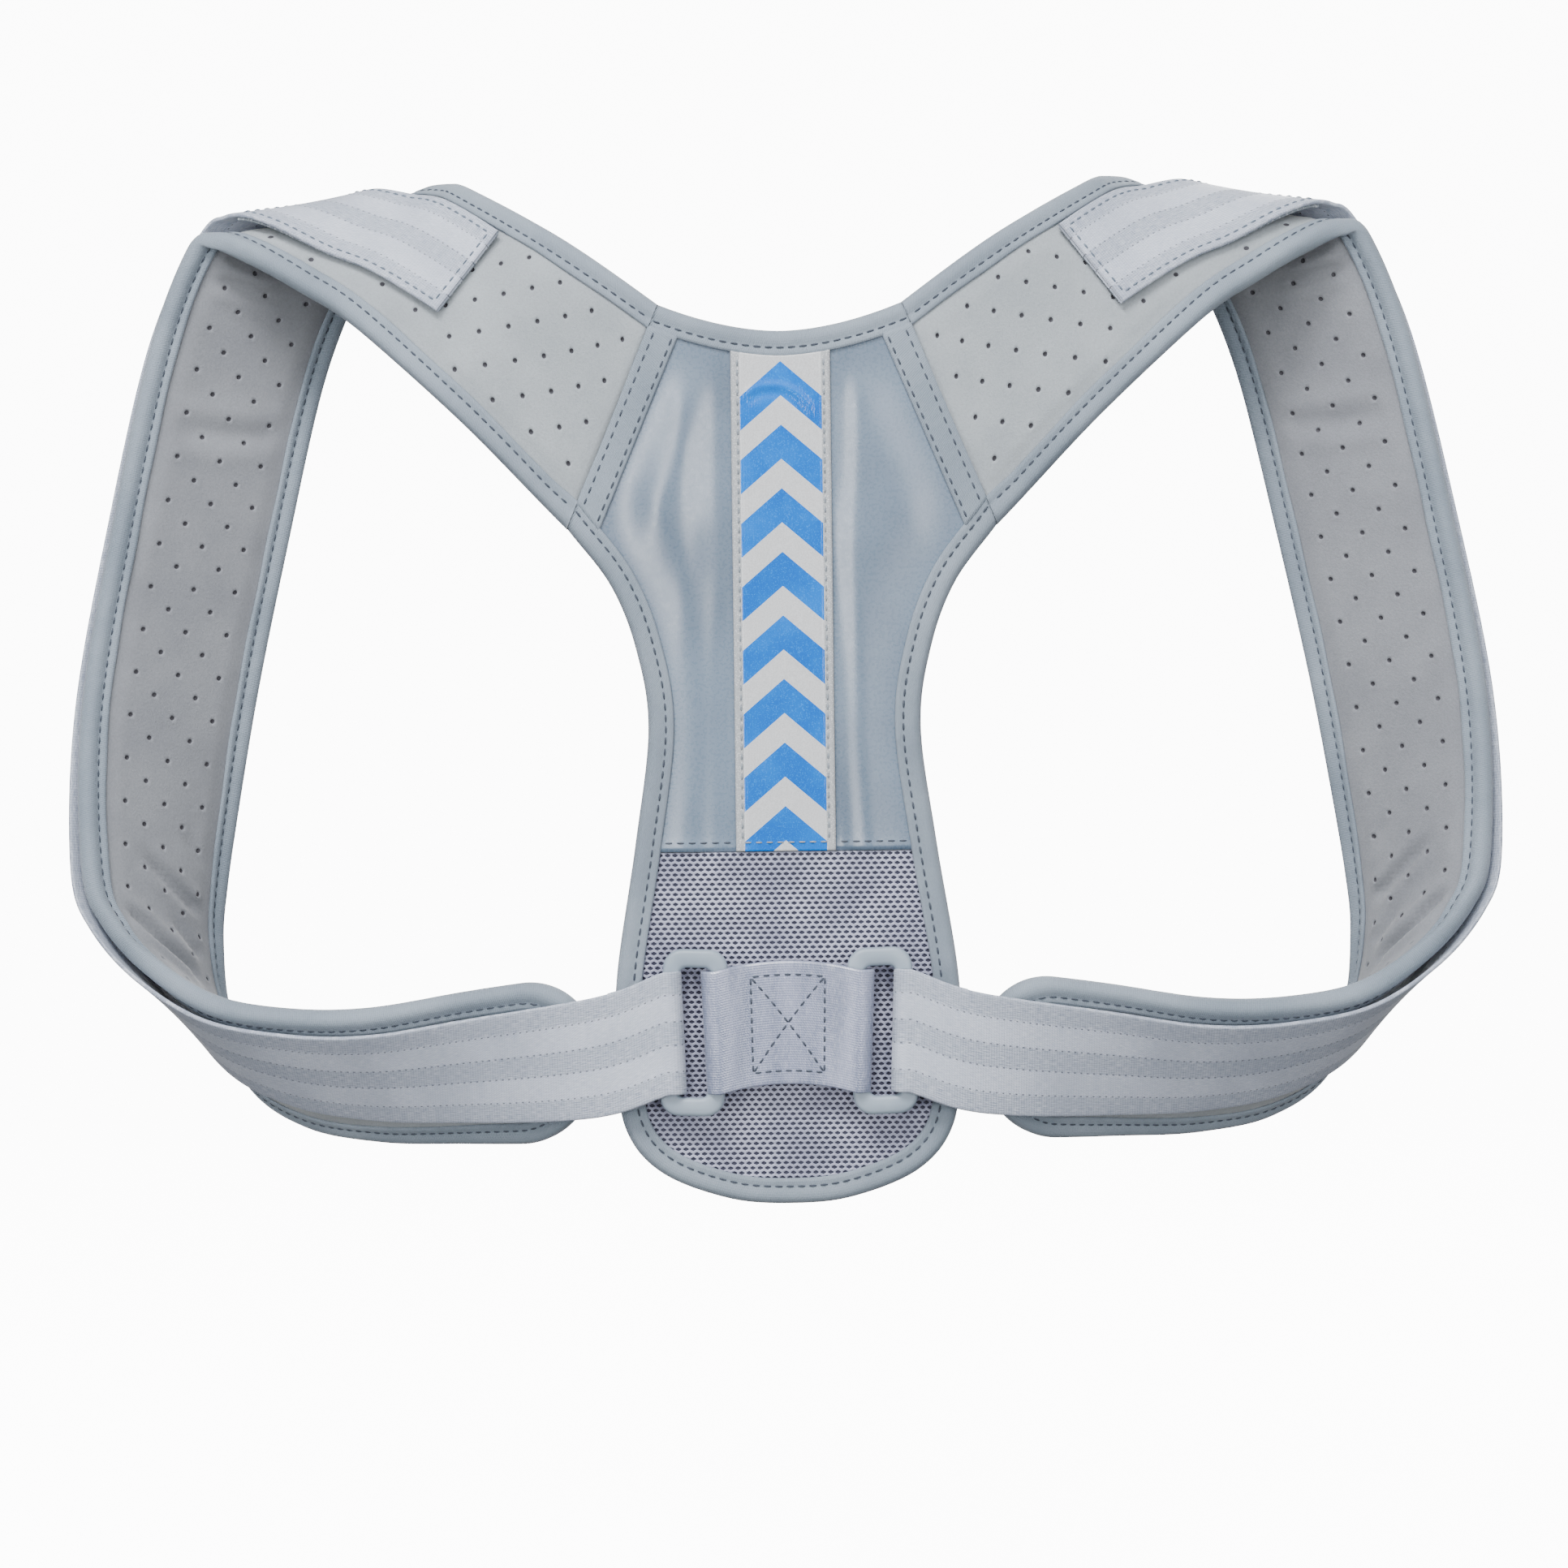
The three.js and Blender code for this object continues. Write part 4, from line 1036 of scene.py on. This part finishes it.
def panel_grid(bottom, inset, step, columns):
    """A grid over the panel from a height up to its neck."""
    top = PANEL_ABOVE - inset
    if bottom < -PANEL_BELOW + 20:
        turns = np.linspace(0, math.pi / 2, 26)[:-1]
        rounded = bottom + 24 * (1 - np.cos(turns))
        rest = np.arange(rounded[-1] + step, top - step / 2, step)
        levels = np.concatenate([rounded, rest, [top]])
    else:
        levels = np.append(np.arange(bottom, top - step / 2, step), top)
    half = panel_half(levels, inset)
    if bottom < -PANEL_BELOW + 20:
        half[0] = 0.02
    share = np.linspace(-1, 1, columns)
    x = half[:, None] * share[None]
    rise = np.clip((levels - 15) / (top - 15), 0, 1)[:, None]
    z = levels[:, None] - neck_dip(x) * rise
    return x, z


def back_pad():
    x, z = panel_grid(-PANEL_BELOW + BINDING_DEPTH, BINDING_DEPTH, 2.0, 61)
    inside = bound_distance(x, z)
    back = -1.5 + 0.5 * ease(6, 8, inside) + 1.0 * ease(8, 13, inside) + 0.7 * ease(13, 40, inside)
    back = back - 0.7 * (1 - ease(0, 3, seam_distance(x, z)))
    back = back + 0.15 * ripple(x, z, 60, 5) * ease(10, 20, inside)
    return thin_solid(x, CORE_FRONT, back, z)


def flank(off, begin, end, slope):
    """The height of a slope that starts at begin and levels out at end."""
    grid = np.linspace(0, 90, 901)
    rate = slope * ease(begin - 2.5, begin + 2.5, grid) * (1 - ease(end - 2.5, end + 2.5, grid))
    return np.interp(off, grid, np.cumsum(rate) * 0.1)


def leather_height(x, z):
    """How far the leatherette stands out of its plane, swelling away from the tape on either side."""
    off = np.abs(x)
    free = ease(6.5, 27, bound_distance(x, z))
    free = free * ease(SEAM_TAPE_WIDTH - 1, SEAM_TAPE_WIDTH + 16, seam_distance(x, z))
    beside = ease(15.4, 18.5, off)
    moved = off + 1.3 * np.sin(z / 27 + (x > 0)) + 0.35 * np.sin(z / 9.5)
    swell = np.where(x < 0, flank(moved, 21, 32, 0.19), flank(moved, 19, 24, 0.22))
    dent = 0.7 * np.exp(-((x + 30) / 7) ** 2 - ((z - 20) / 13) ** 2)
    dent = dent - 0.6 * np.exp(-((x + 37) / 8) ** 2 - ((z - 36) / 12) ** 2)
    uneven = 0.12 * ripple(x, z, 38, 21)
    hem = 0.35 * np.exp(-((z + FACING_SPLIT - 1.2) / 1.3) ** 2)
    return 0.15 * beside + free * beside * (swell - dent + uneven) + hem * beside


def leather_facing():
    x, z = panel_grid(-FACING_SPLIT, BINDING_DEPTH, 1.6, 91)
    return thin_solid(x, FACING_BACK - 0.05, FACING_FRONT - leather_height(x, z), z)


# Open mesh over the tongue: six-sided holes in rows, shifted by half a hole from row to row

MESH_COLUMN, MESH_ROW = 2.3, 1.52
MESH_TOP, MESH_BOTTOM = -FACING_SPLIT - GAP, -PANEL_BELOW + 2
# Rings of points down each hole: half width, half height and depth
MESH_RINGS = [(1.0, 0.71, 0.12), (0.85, 0.61, 0.4), (0.76, 0.53, 0.75)]
MESH_ANGLES = np.radians([164, 90, 16, -16, -90, -164])


def mesh_height(x, z):
    swell = ease(6, 26, bound_distance(x, z)) * 0.55
    return swell + 0.08 * ripple(x, z, 30, 31) * ease(8, 20, bound_distance(x, z))


def mesh_cells():
    """The middles (x, z) of the cells inside the bound edge, and the row and half column of each."""
    rows, reach = int((MESH_TOP - MESH_BOTTOM) / MESH_ROW), int(60 / MESH_COLUMN)
    cells = np.array([
        ((c + 0.5 * (r % 2)) * MESH_COLUMN, MESH_TOP - (r + 0.5) * MESH_ROW, r, 2 * c + r % 2)
        for r in range(rows) for c in range(-reach, reach)
    ])
    x, z = cells[:, 0], cells[:, 1]
    cells = cells[(bound_distance(x, z) > 3.4) & (np.abs(x) < panel_half(z, 0))]
    return cells[:, :2], cells[:, 2:].astype(int).tolist()


def mesh_facing():
    shape = Shape()
    middles, places = mesh_cells()
    numbers, outlines = {}, []
    for r, c in places:
        corners = [(c - 1, r), (c, r), (c + 1, r), (c + 1, r + 1), (c, r + 1), (c - 1, r + 1)]
        outlines.append([numbers.setdefault(corner, len(numbers)) for corner in corners])
    x, z = np.array([(column * MESH_COLUMN / 2, MESH_TOP - row * MESH_ROW) for column, row in numbers]).T
    front = shape.add(points_at(x, FACING_FRONT - mesh_height(x, z), z))
    back = shape.add(points_at(x, FACING_BACK - 0.02, z))
    x, z = middles[:, :1], middles[:, 1:]
    y = FACING_FRONT - mesh_height(x, z)
    levels = []
    for across, up, sink in MESH_RINGS:
        ring = points_at(x + across * np.cos(MESH_ANGLES), y + sink, z + up * np.sin(MESH_ANGLES))
        levels.append(shape.add(ring))
    for n, outline in enumerate(outlines):
        rings = [[front + i for i in outline]] + [[level + 6 * n + k for k in range(6)] for level in levels]
        # The deepest ring and the floor of each hole take the second material, painted shade.
        for depth, (one, two) in enumerate(zip(rings, rings[1:])):
            shape.join(ring_faces(one, two), slot=1 if depth == 2 else 0)
        shape.join([rings[-1]], slot=1)
        shape.join([[back + i for i in outline][::-1]])
    edges = {}
    for outline in outlines:
        for a, b in zip(outline, outline[1:] + outline[:1]):
            if edges.pop((b, a), None) is None:
                edges[a, b] = True
    shape.join([[front + b, front + a, back + a, back + b] for a, b in edges])
    return shape


def chevron_tape():
    top, bottom = PANEL_ABOVE - NECK_DIP - BINDING_LIP - 0.15, -FACING_SPLIT
    half = TAPE_WIDTH / 2
    inner = np.linspace(-half + 0.6, half - 0.6, 51)
    xs = np.concatenate([[-half, -half + 0.12], inner, [half - 0.12, half]])
    drop = np.concatenate([[0.75, 0.35], np.zeros(len(inner)), [0.35, 0.75]])
    zs = np.arange(bottom, top, 0.6)
    x, z = np.meshgrid(xs, np.append(zs[zs < top - 0.3], top))
    z = z + (NECK_DIP - neck_dip(x)) * np.clip((z - top + 12) / 12, 0, 1)
    rise = 0.14 * ripple(x, z, 30, 41) + 0.12 * np.cos(x / half * math.pi / 2)
    stitched = np.exp(-((np.abs(x) - TAPE_STITCH) / 0.8) ** 2) * 0.16
    arch = np.hypot(x + 3, z - 58)
    wrinkle = 0.45 * np.exp(-((arch - 13.5) / 1.2) ** 2) - 0.25 * np.exp(-((arch - 11.0) / 1.3) ** 2)
    wrinkle = wrinkle * ease(60, 66, z) * (1 - ease(9, 12, np.abs(x)))
    return thin_solid(x, TAPE_FRONT - rise + drop[None] + stitched - wrinkle, TAPE_BACK, z)


def flat_stitches(rows, pitch=STITCH_PITCH, length=STITCH_LENGTH):
    """Stitches along rows on the front of the panel, each a list of (x, y, z)."""
    shape = Shape()
    for row in rows:
        stitches(shape, resampled(row, 60), (0, -1, 0), pitch, length)
    return shape


def hem_rows():
    """A row along the lower hem of each leatherette wing."""
    reach = float(panel_half(np.array([HEM_Z]), BINDING_LIP)[0]) - 0.6
    rows = []
    for side in (-1, 1):
        x, z = side * np.linspace(16.4, reach, 40), np.full(40, HEM_Z)
        rows.append(points_at(x, FACING_FRONT - leather_height(x, z) - 0.03, z))
    return rows


def tape_rows():
    """A row down each side of the chevron tape, and one across its lower end."""
    rows = []
    for x in (-TAPE_STITCH, TAPE_STITCH):
        rows.append([(x, TAPE_FRONT + 0.04, -FACING_SPLIT + 3.4), (x, TAPE_FRONT + 0.04, 80)])
    return rows + [[(x, TAPE_FRONT - 0.1, HEM_Z) for x in (-TAPE_STITCH, TAPE_STITCH)]]


def seam_ends(inset, lip=BINDING_LIP + GAP):
    """Where a line along the left seam, this far inside it, meets the lips of the two bindings."""
    return edge_run(LOWER_LINE, lip, inset)[0], edge_run(NECK_LINE, lip, inset)[-1]


def seam_tape():
    low_out, high_out = seam_ends(-0.55, BINDING_LIP - 0.6)
    low_in, high_in = seam_ends(SEAM_TAPE_WIDTH, BINDING_LIP - 0.6)
    u = np.linspace(0, 1, 46)[:, None]
    v = np.concatenate([[0, 0.02], np.linspace(0.07, 0.93, 9), [0.98, 1]])[None]
    drop = np.concatenate([[0.6, 0.2], np.zeros(9), [0.2, 0.6]])[None]
    out_line = low_out + (high_out - low_out) * u
    in_line = low_in + (high_in - low_in) * u
    flat = out_line[:, None] + (in_line - out_line)[:, None] * v[..., None]
    along = u * np.linalg.norm(high_out - low_out)
    arch = np.sin(v * math.pi)
    puff = 0.16 * arch + 0.1 * np.cos(2 * math.pi * along / STITCH_PITCH) * arch
    uvs = weave_at(along[:, 0], v[0] * SEAM_TAPE_WIDTH)
    return thin_solid(flat[..., 0], TAPE_FRONT + 0.05 + drop - puff, TAPE_BACK + 0.1, flat[..., 1], uvs)


def seam_stitch_rows():
    insets = (1.9, SEAM_TAPE_WIDTH - 1.6)
    return [[(x, TAPE_FRONT - 0.05, z) for x, z in seam_ends(inset)] for inset in insets]


# Webbing

TAB_PITCH, TAB_STITCH = 3.2, 2.2


def strip_section(half, thickness, edge, reach, across):
    """A flat strip in section. edge rounds it, as (distance from the side, share of the thickness)."""
    right = [(half - inset, share * thickness / 2) for inset, share in edge]
    top = [(-x, y) for x, y in right]
    top += [(x, thickness / 2) for x in np.linspace(-reach, reach, across)] + right[::-1]
    return top + [(x, -y) for x, y in top[::-1][1:-1]]


WEB_EDGE = [(0, 0), (0.12, 0.62), (0.45, 0.93)]
WEB_SECTION = strip_section(WEB_WIDTH / 2, WEB_THICKNESS, WEB_EDGE, WEB_WIDTH / 2 - 0.9, 22)
HOOK_SECTION = strip_section(0.5, HOOK_THICKNESS, [(0, 0), (0.008, 0.7)], 0.475, 12)


def web_frames(place):
    """The webbing's middle, its directions across and outwards, and its width."""
    middle, _, across, out = frame_at(place)
    height = smooth(LIFTS, place) + WEB_THICKNESS / 2
    middle = middle + across * smooth(SHIFTS, place)[..., None] + out * height[..., None]
    tab = np.clip((place - WEB_START) / (TAB_END - WEB_START), 0, 1)
    return middle, across, out, TAB_WIDTH + (WEB_WIDTH - TAB_WIDTH) * tab


def webbing():
    """Led along the loop, rolled round the bar and back behind itself."""
    end = travel_at(LAST)
    middle, across, out, width = web_frames(place_at(np.linspace(travel_at(WEB_START), end, 420)))
    last_out, last_across = out[-1], across[-1]
    radius = ROLL_INSIDE + WEB_THICKNESS / 2
    bar = middle[-1] - last_out * radius
    forward = unit(np.cross(last_out, last_across))
    if forward @ (middle[-1] - middle[-2]) < 0:
        forward = -forward
    angles = np.linspace(0, math.pi, 25)[1:, None]
    roll_out = np.cos(angles) * last_out + np.sin(angles) * forward
    roll = bar + roll_out * radius
    shares = np.linspace(0, 1, 25)[1:]
    tail_middle, tail_across, tail_out, tail_width = web_frames(place_at(end - shares * TAIL_LENGTH))
    wide, narrow = 2 * ROLL_INSIDE + WEB_THICKNESS, WEB_THICKNESS + GAP
    apart = wide + (narrow - wide) * ease(0, 0.6, shares)
    return band(
        np.vstack([middle, roll, tail_middle - tail_out * apart[:, None]]),
        np.vstack([across, np.tile(last_across, (len(roll), 1)), tail_across]),
        np.vstack([out, roll_out, -tail_out]),
        WEB_SECTION,
        np.concatenate([width, np.full(len(roll), WEB_WIDTH), tail_width]) / WEB_WIDTH,
    )


def hook_patch():
    start = travel_at(WEB_START) + HOOK_MARGIN * 0.3
    middle, across, out, width = web_frames(place_at(np.linspace(start, start + HOOK_LENGTH, 60)))
    middle = middle - out * (WEB_THICKNESS / 2 + GAP * 0.4 + HOOK_THICKNESS / 2)
    share = 1 - 0.7 * HOOK_MARGIN / TAB_WIDTH
    return band(middle, across, out, [(x * share, y) for x, y in HOOK_SECTION], width)


def tab_stitches():
    """The row of stitches round the end of the webbing on the shoulder."""
    shape = Shape()
    start, inset = travel_at(WEB_START), 2.4
    middle, across, out, width = web_frames(place_at(np.linspace(start + inset, start + HOOK_LENGTH, 80)))
    middle = middle + out * (WEB_THICKNESS / 2 + 0.03)
    reach = width / 2 - inset
    for side in (-1, 1):
        stitches(shape, middle + across * (side * reach)[:, None], out, TAB_PITCH, TAB_STITCH)
    for end in (0, -1):
        offsets = np.linspace(-1, 1, 20)[:, None] * reach[end]
        stitches(shape, middle[end] + across[end] * offsets, out[end], TAB_PITCH, TAB_STITCH)
    return shape


# Flat loops and the webbing between them

SLOT_CORNER, BAR_SQUARE = 2.2, 0.62
BAR = RING_REACH - BAR_OFFSET


def rounded_rectangle(width, height, corner):
    """Points round a rectangle: nine on each round corner, and four and eight along its sides."""
    arcs = []
    for quarter, (sx, sy) in enumerate([(1, 1), (-1, 1), (-1, -1), (1, -1)]):
        angles = np.radians(np.linspace(90 * quarter, 90 * quarter + 90, 9))
        centre = (sx * (width / 2 - corner), sy * (height / 2 - corner))
        arcs.append(centre + corner * np.stack([np.cos(angles), np.sin(angles)], axis=1))
    full = []
    for quarter, arc in enumerate(arcs):
        number = (4, 8)[quarter % 2]
        side = arcs[(quarter + 1) % 4][0] - arc[-1]
        full += [arc, arc[-1] + side * (np.arange(1, number + 1) / (number + 1))[:, None]]
    return np.vstack(full)


def flat_loop():
    """The bar round the slot, with a squared round section, leaning with the belt."""
    outer = rounded_rectangle(RING_WIDTH, RING_HEIGHT, RING_CORNER)
    inner = rounded_rectangle(RING_WIDTH - 2 * BAR_WIDTH, WEB_WIDTH + 2 * SLOT_PLAY, SLOT_CORNER)
    turns = np.linspace(0, 2 * math.pi, 17)[:-1]
    wide, deep = (np.sign(wave) * np.abs(wave) ** BAR_SQUARE for wave in (np.cos(turns), np.sin(turns)))
    flat = outer[:, None] + (inner - outer)[:, None] * ((1 - wide) / 2)[None, :, None]
    across, up = flat[..., 0], flat[..., 1]
    cosine, sine = math.cos(-LEAN), math.sin(-LEAN)
    x = across * cosine - up * sine - RING_REACH
    z = across * sine + up * cosine - BELT_DROP
    return tube(points_at(x, RING_Y + deep * RING_THICKNESS / 2, z), closed=True)


def centre_half(x):
    """How far the outside of the doubled webbing stands from its middle plane."""
    share = np.clip((np.abs(x) - BOX_STITCH_HALF) / (BAR - BOX_STITCH_HALF), 0, 1)
    crown = 0.15 * np.maximum(1 - (x / BOX_STITCH_HALF) ** 2, 0)
    flat = WEB_THICKNESS + 0.1
    return crown + flat + (ROLL_OUTSIDE - flat) * share * share * (3 - 2 * share)


def centre_place(x, y, up):
    arch = CENTRE_ARCH * (1 - np.minimum((x / BAR) ** 2, 1))
    spread = 1 + up * math.tan(LEAN) / BAR
    return points_at(x * spread, RING_Y + y, up + arch - BELT_DROP)


def centre_webbing():
    """One band that runs across the front, round a bar, back behind and round the other bar."""
    xs = np.linspace(-BAR, BAR, 81)
    front = np.stack([xs, -(centre_half(xs) - WEB_THICKNESS / 2)], axis=1)
    angles = np.radians(np.linspace(-90, 90, 25)[1:-1])
    radius = ROLL_OUTSIDE - WEB_THICKNESS / 2
    turn = np.stack([BAR + radius * np.cos(angles), radius * np.sin(angles)], axis=1)
    ring = np.vstack([front, turn, front[::-1] * (1, -1), turn[::-1] * (-1, 1)])
    ring = np.roll(ring, -(len(front) + len(turn) + len(front) // 2), axis=0)
    heading = unit(np.roll(ring, -1, axis=0) - np.roll(ring, 1, axis=0))
    normal = np.stack([heading[:, 1], -heading[:, 0]], axis=1)
    up, height = np.array(WEB_SECTION).T
    at = ring[:, None] + normal[:, None] * height[:, None]
    return tube(centre_place(at[..., 0], at[..., 1], up), weave_at(lengths_along(ring), up), closed=True)


def box_stitches():
    """A crossed box sewn through both layers, on the front and on the back."""
    shape = Shape()
    wide, tall = BOX_STITCH_HALF - 0.3, 14.8
    corners = [(-wide, tall), (wide, tall), (wide, -tall), (-wide, -tall)]
    rows = [*zip(corners, corners[1:] + corners[:1]), (corners[0], corners[2]), (corners[1], corners[3])]
    for sign in (-1, 1):
        for (x0, z0), (x1, z1) in rows:
            x, up = np.linspace(x0, x1, 40), np.linspace(z0, z1, 40)
            line = centre_place(x, sign * (centre_half(x) + 0.05), up)
            stitches(shape, line, (0, sign, 0), pitch=2.9, length=2.15)
    return shape


# Making every piece

make(back_pad(), "back_pad_soft", [CORE], "back_pad", weld=True)
make(leather_facing(), "leather_wings", [LEATHER], "leather_facing")
make(mesh_facing(), "mesh_panel", [STRAND, MESH_HOLE_SHADE], "mesh_facing")
make(chevron_tape(), "chevron_band", [CHEVRON], "chevron_tape")
make(panel_binding(LOWER_LINE), "panel_edge", [TAPE], "panel_binding")
make(panel_binding(NECK_LINE), "neck_edge", [TAPE], "neck_binding")
make(panel_stitches(), "panel_edge_stitches", [THREAD])
make(centre_webbing(), "centre_band", [BAND], "centre_webbing")
make(box_stitches(), "box_stitches", [THREAD])
make(flat_stitches(hem_rows()), "hem_stitches", [THREAD])
make(flat_stitches(tape_rows(), pitch=3.0, length=2.2), "chevron_stitches", [PALE_THREAD])

SIDE_PIECES = [
    (shoulder_pad(), "shoulder_pad", [PAD, PERFORATION_SHADE, PAD_INSIDE_SHADED], "strap_pad", "pad_fabric", 0.5, True),
    (strap_binding(), "strap_edge", [TAPE], "strap_binding", "binding_tape", None, False),
    (strap_stitches(), "strap_edge_stitches", [THREAD], None, None, None, False),
    (seam_tape(), "seam_band", [TAPE], "seam_tape", "binding_tape", None, False),
    (flat_stitches(seam_stitch_rows()), "seam_stitches", [THREAD], None, None, None, False),
    (webbing(), "side_band", [WEBBING], "webbing", "webbing", None, False),
    (hook_patch(), "hook_layer", [HOOK], "hook_patch", "hook_tape", None, False),
    (tab_stitches(), "tab_stitches", [TAB_THREAD], None, None, None, False),
    (flat_loop(), "loop", [PLASTIC], "flat_loop", "loop_plastic", None, False),
]
for shape, name, materials, node, slot, fill, weld in SIDE_PIECES:
    for side in ("left", "right"):
        replaced = f"{node}_{side}" if node else None
        make(shape, f"{name}_{side}", materials, replaced, side == "right", weld)


# Stage: a pale closed dome, soft lights and the camera

# Name, place, target, size and power
LIGHTS = [
    ("key", (-0.4, -1.2, 1.5), (0, 0, 0), (1.0, 0.6), 55),
    ("fill", (0.2, -1.7, 1.0), (0, 0, 0), (1.4, 0.8), 6),
    ("top", (0, 0.3, 1.7), (0, 0, 0), (1.6, 1.2), 6),
    ("side_left", (-0.45, -1.3, 0.1), (0, 0, 0), (0.14, 1.0), 7),
    ("side_right", (0.5, -1.3, 0.1), (0, 0, 0), (0.14, 1.0), 7),
    ("low_left", (-0.95, -0.8, -0.2), (-0.15, 0, -0.12), (0.5, 0.3), 5),
    ("low_right", (0.95, -0.8, -0.2), (0.15, 0, -0.12), (0.5, 0.3), 3),
    ("rear", (0.5, 1.6, 1.2), (0, 0, 0), (1.4, 1.0), 22),
    ("far_left", (-1.7, 0.5, 0.7), (0, 0, 0), (1.0, 1.0), 8),
    ("far_right", (1.7, 0.5, 0.7), (0, 0, 0), (1.0, 1.0), 8),
]


def backdrop():
    """A pale floor, a round wall and a ceiling in one. The camera sees it, and it lights nothing."""
    low, wide, high, bend = -0.34, 2.6, 3.4, 0.7
    turn = np.linspace(0, math.pi / 2, 13)
    edge = wide - bend
    profile = [(0.0, low)] + [(edge + bend * math.sin(a), low + bend * (1 - math.cos(a))) for a in turn]
    profile += [(edge + bend * math.cos(a), high - bend + bend * math.sin(a)) for a in turn] + [(0.0, high)]
    sides = 64
    angles = np.arange(sides) * 2 * math.pi / sides
    points = [(r * math.cos(a), r * math.sin(a), z) for r, z in profile for a in angles]
    mesh = bpy.data.meshes.new("backdrop")
    mesh.from_pydata(points, [], [face[::-1] for face in grid_faces(len(profile), sides, wrap=True)])
    mesh.polygons.foreach_set("use_smooth", np.ones(len(mesh.polygons), bool))
    paint = Paint("backdrop", roughness=0.9, specular=0.1)
    cloud = paint.speckle(3.0)
    paint.done(paint.mix(cloud, (0.93, 0.93, 0.93), (0.96, 0.96, 0.96)), Emission_Strength=11.0)
    paint.shader.inputs["Emission Color"].default_value = (1, 1, 1, 1)
    mesh.materials.append(paint.material)
    floor = placed("backdrop", mesh)
    floor.visible_diffuse = floor.visible_glossy = floor.visible_shadow = False


def area_light(name, place, target, size, power):
    light = bpy.data.lights.new(name, "AREA")
    light.shape, light.size, light.size_y = "RECTANGLE", *size
    light.energy = power
    lamp = placed(name, light)
    lamp.location = place
    lamp.rotation_euler = (Vector(target) - Vector(place)).to_track_quat("-Z", "Y").to_euler()


def studio():
    backdrop()
    for light in LIGHTS:
        area_light(*light)
    world = bpy.data.worlds.new("studio")
    world.use_nodes = True
    sky, links = world.node_tree.nodes, world.node_tree.links
    place, split, level = (sky.new(f"ShaderNode{kind}") for kind in ("TexCoord", "SeparateXYZ", "MapRange"))
    for name, value in (("From Min", -1.0), ("From Max", 1.0), ("To Min", 0.08), ("To Max", 0.36)):
        level.inputs[name].default_value = value
    links.new(place.outputs["Generated"], split.inputs[0])
    links.new(split.outputs["Z"], level.inputs["Value"])
    links.new(level.outputs[0], sky["Background"].inputs["Strength"])
    sky["Background"].inputs["Color"].default_value = (1, 1, 1, 1)
    bpy.context.scene.world = world
    lens = bpy.data.cameras.new("camera")
    lens.lens, lens.sensor_width = CAMERA_LENS, 36.0
    camera = placed("camera", lens)
    turned = Matrix.Rotation(math.radians(90), 4, "X") @ Matrix.Rotation(math.radians(CAMERA_ROLL), 4, "Z")
    camera.matrix_world = Matrix.Translation(CAMERA_PLACE) @ turned
    bpy.context.scene.camera = camera


studio()
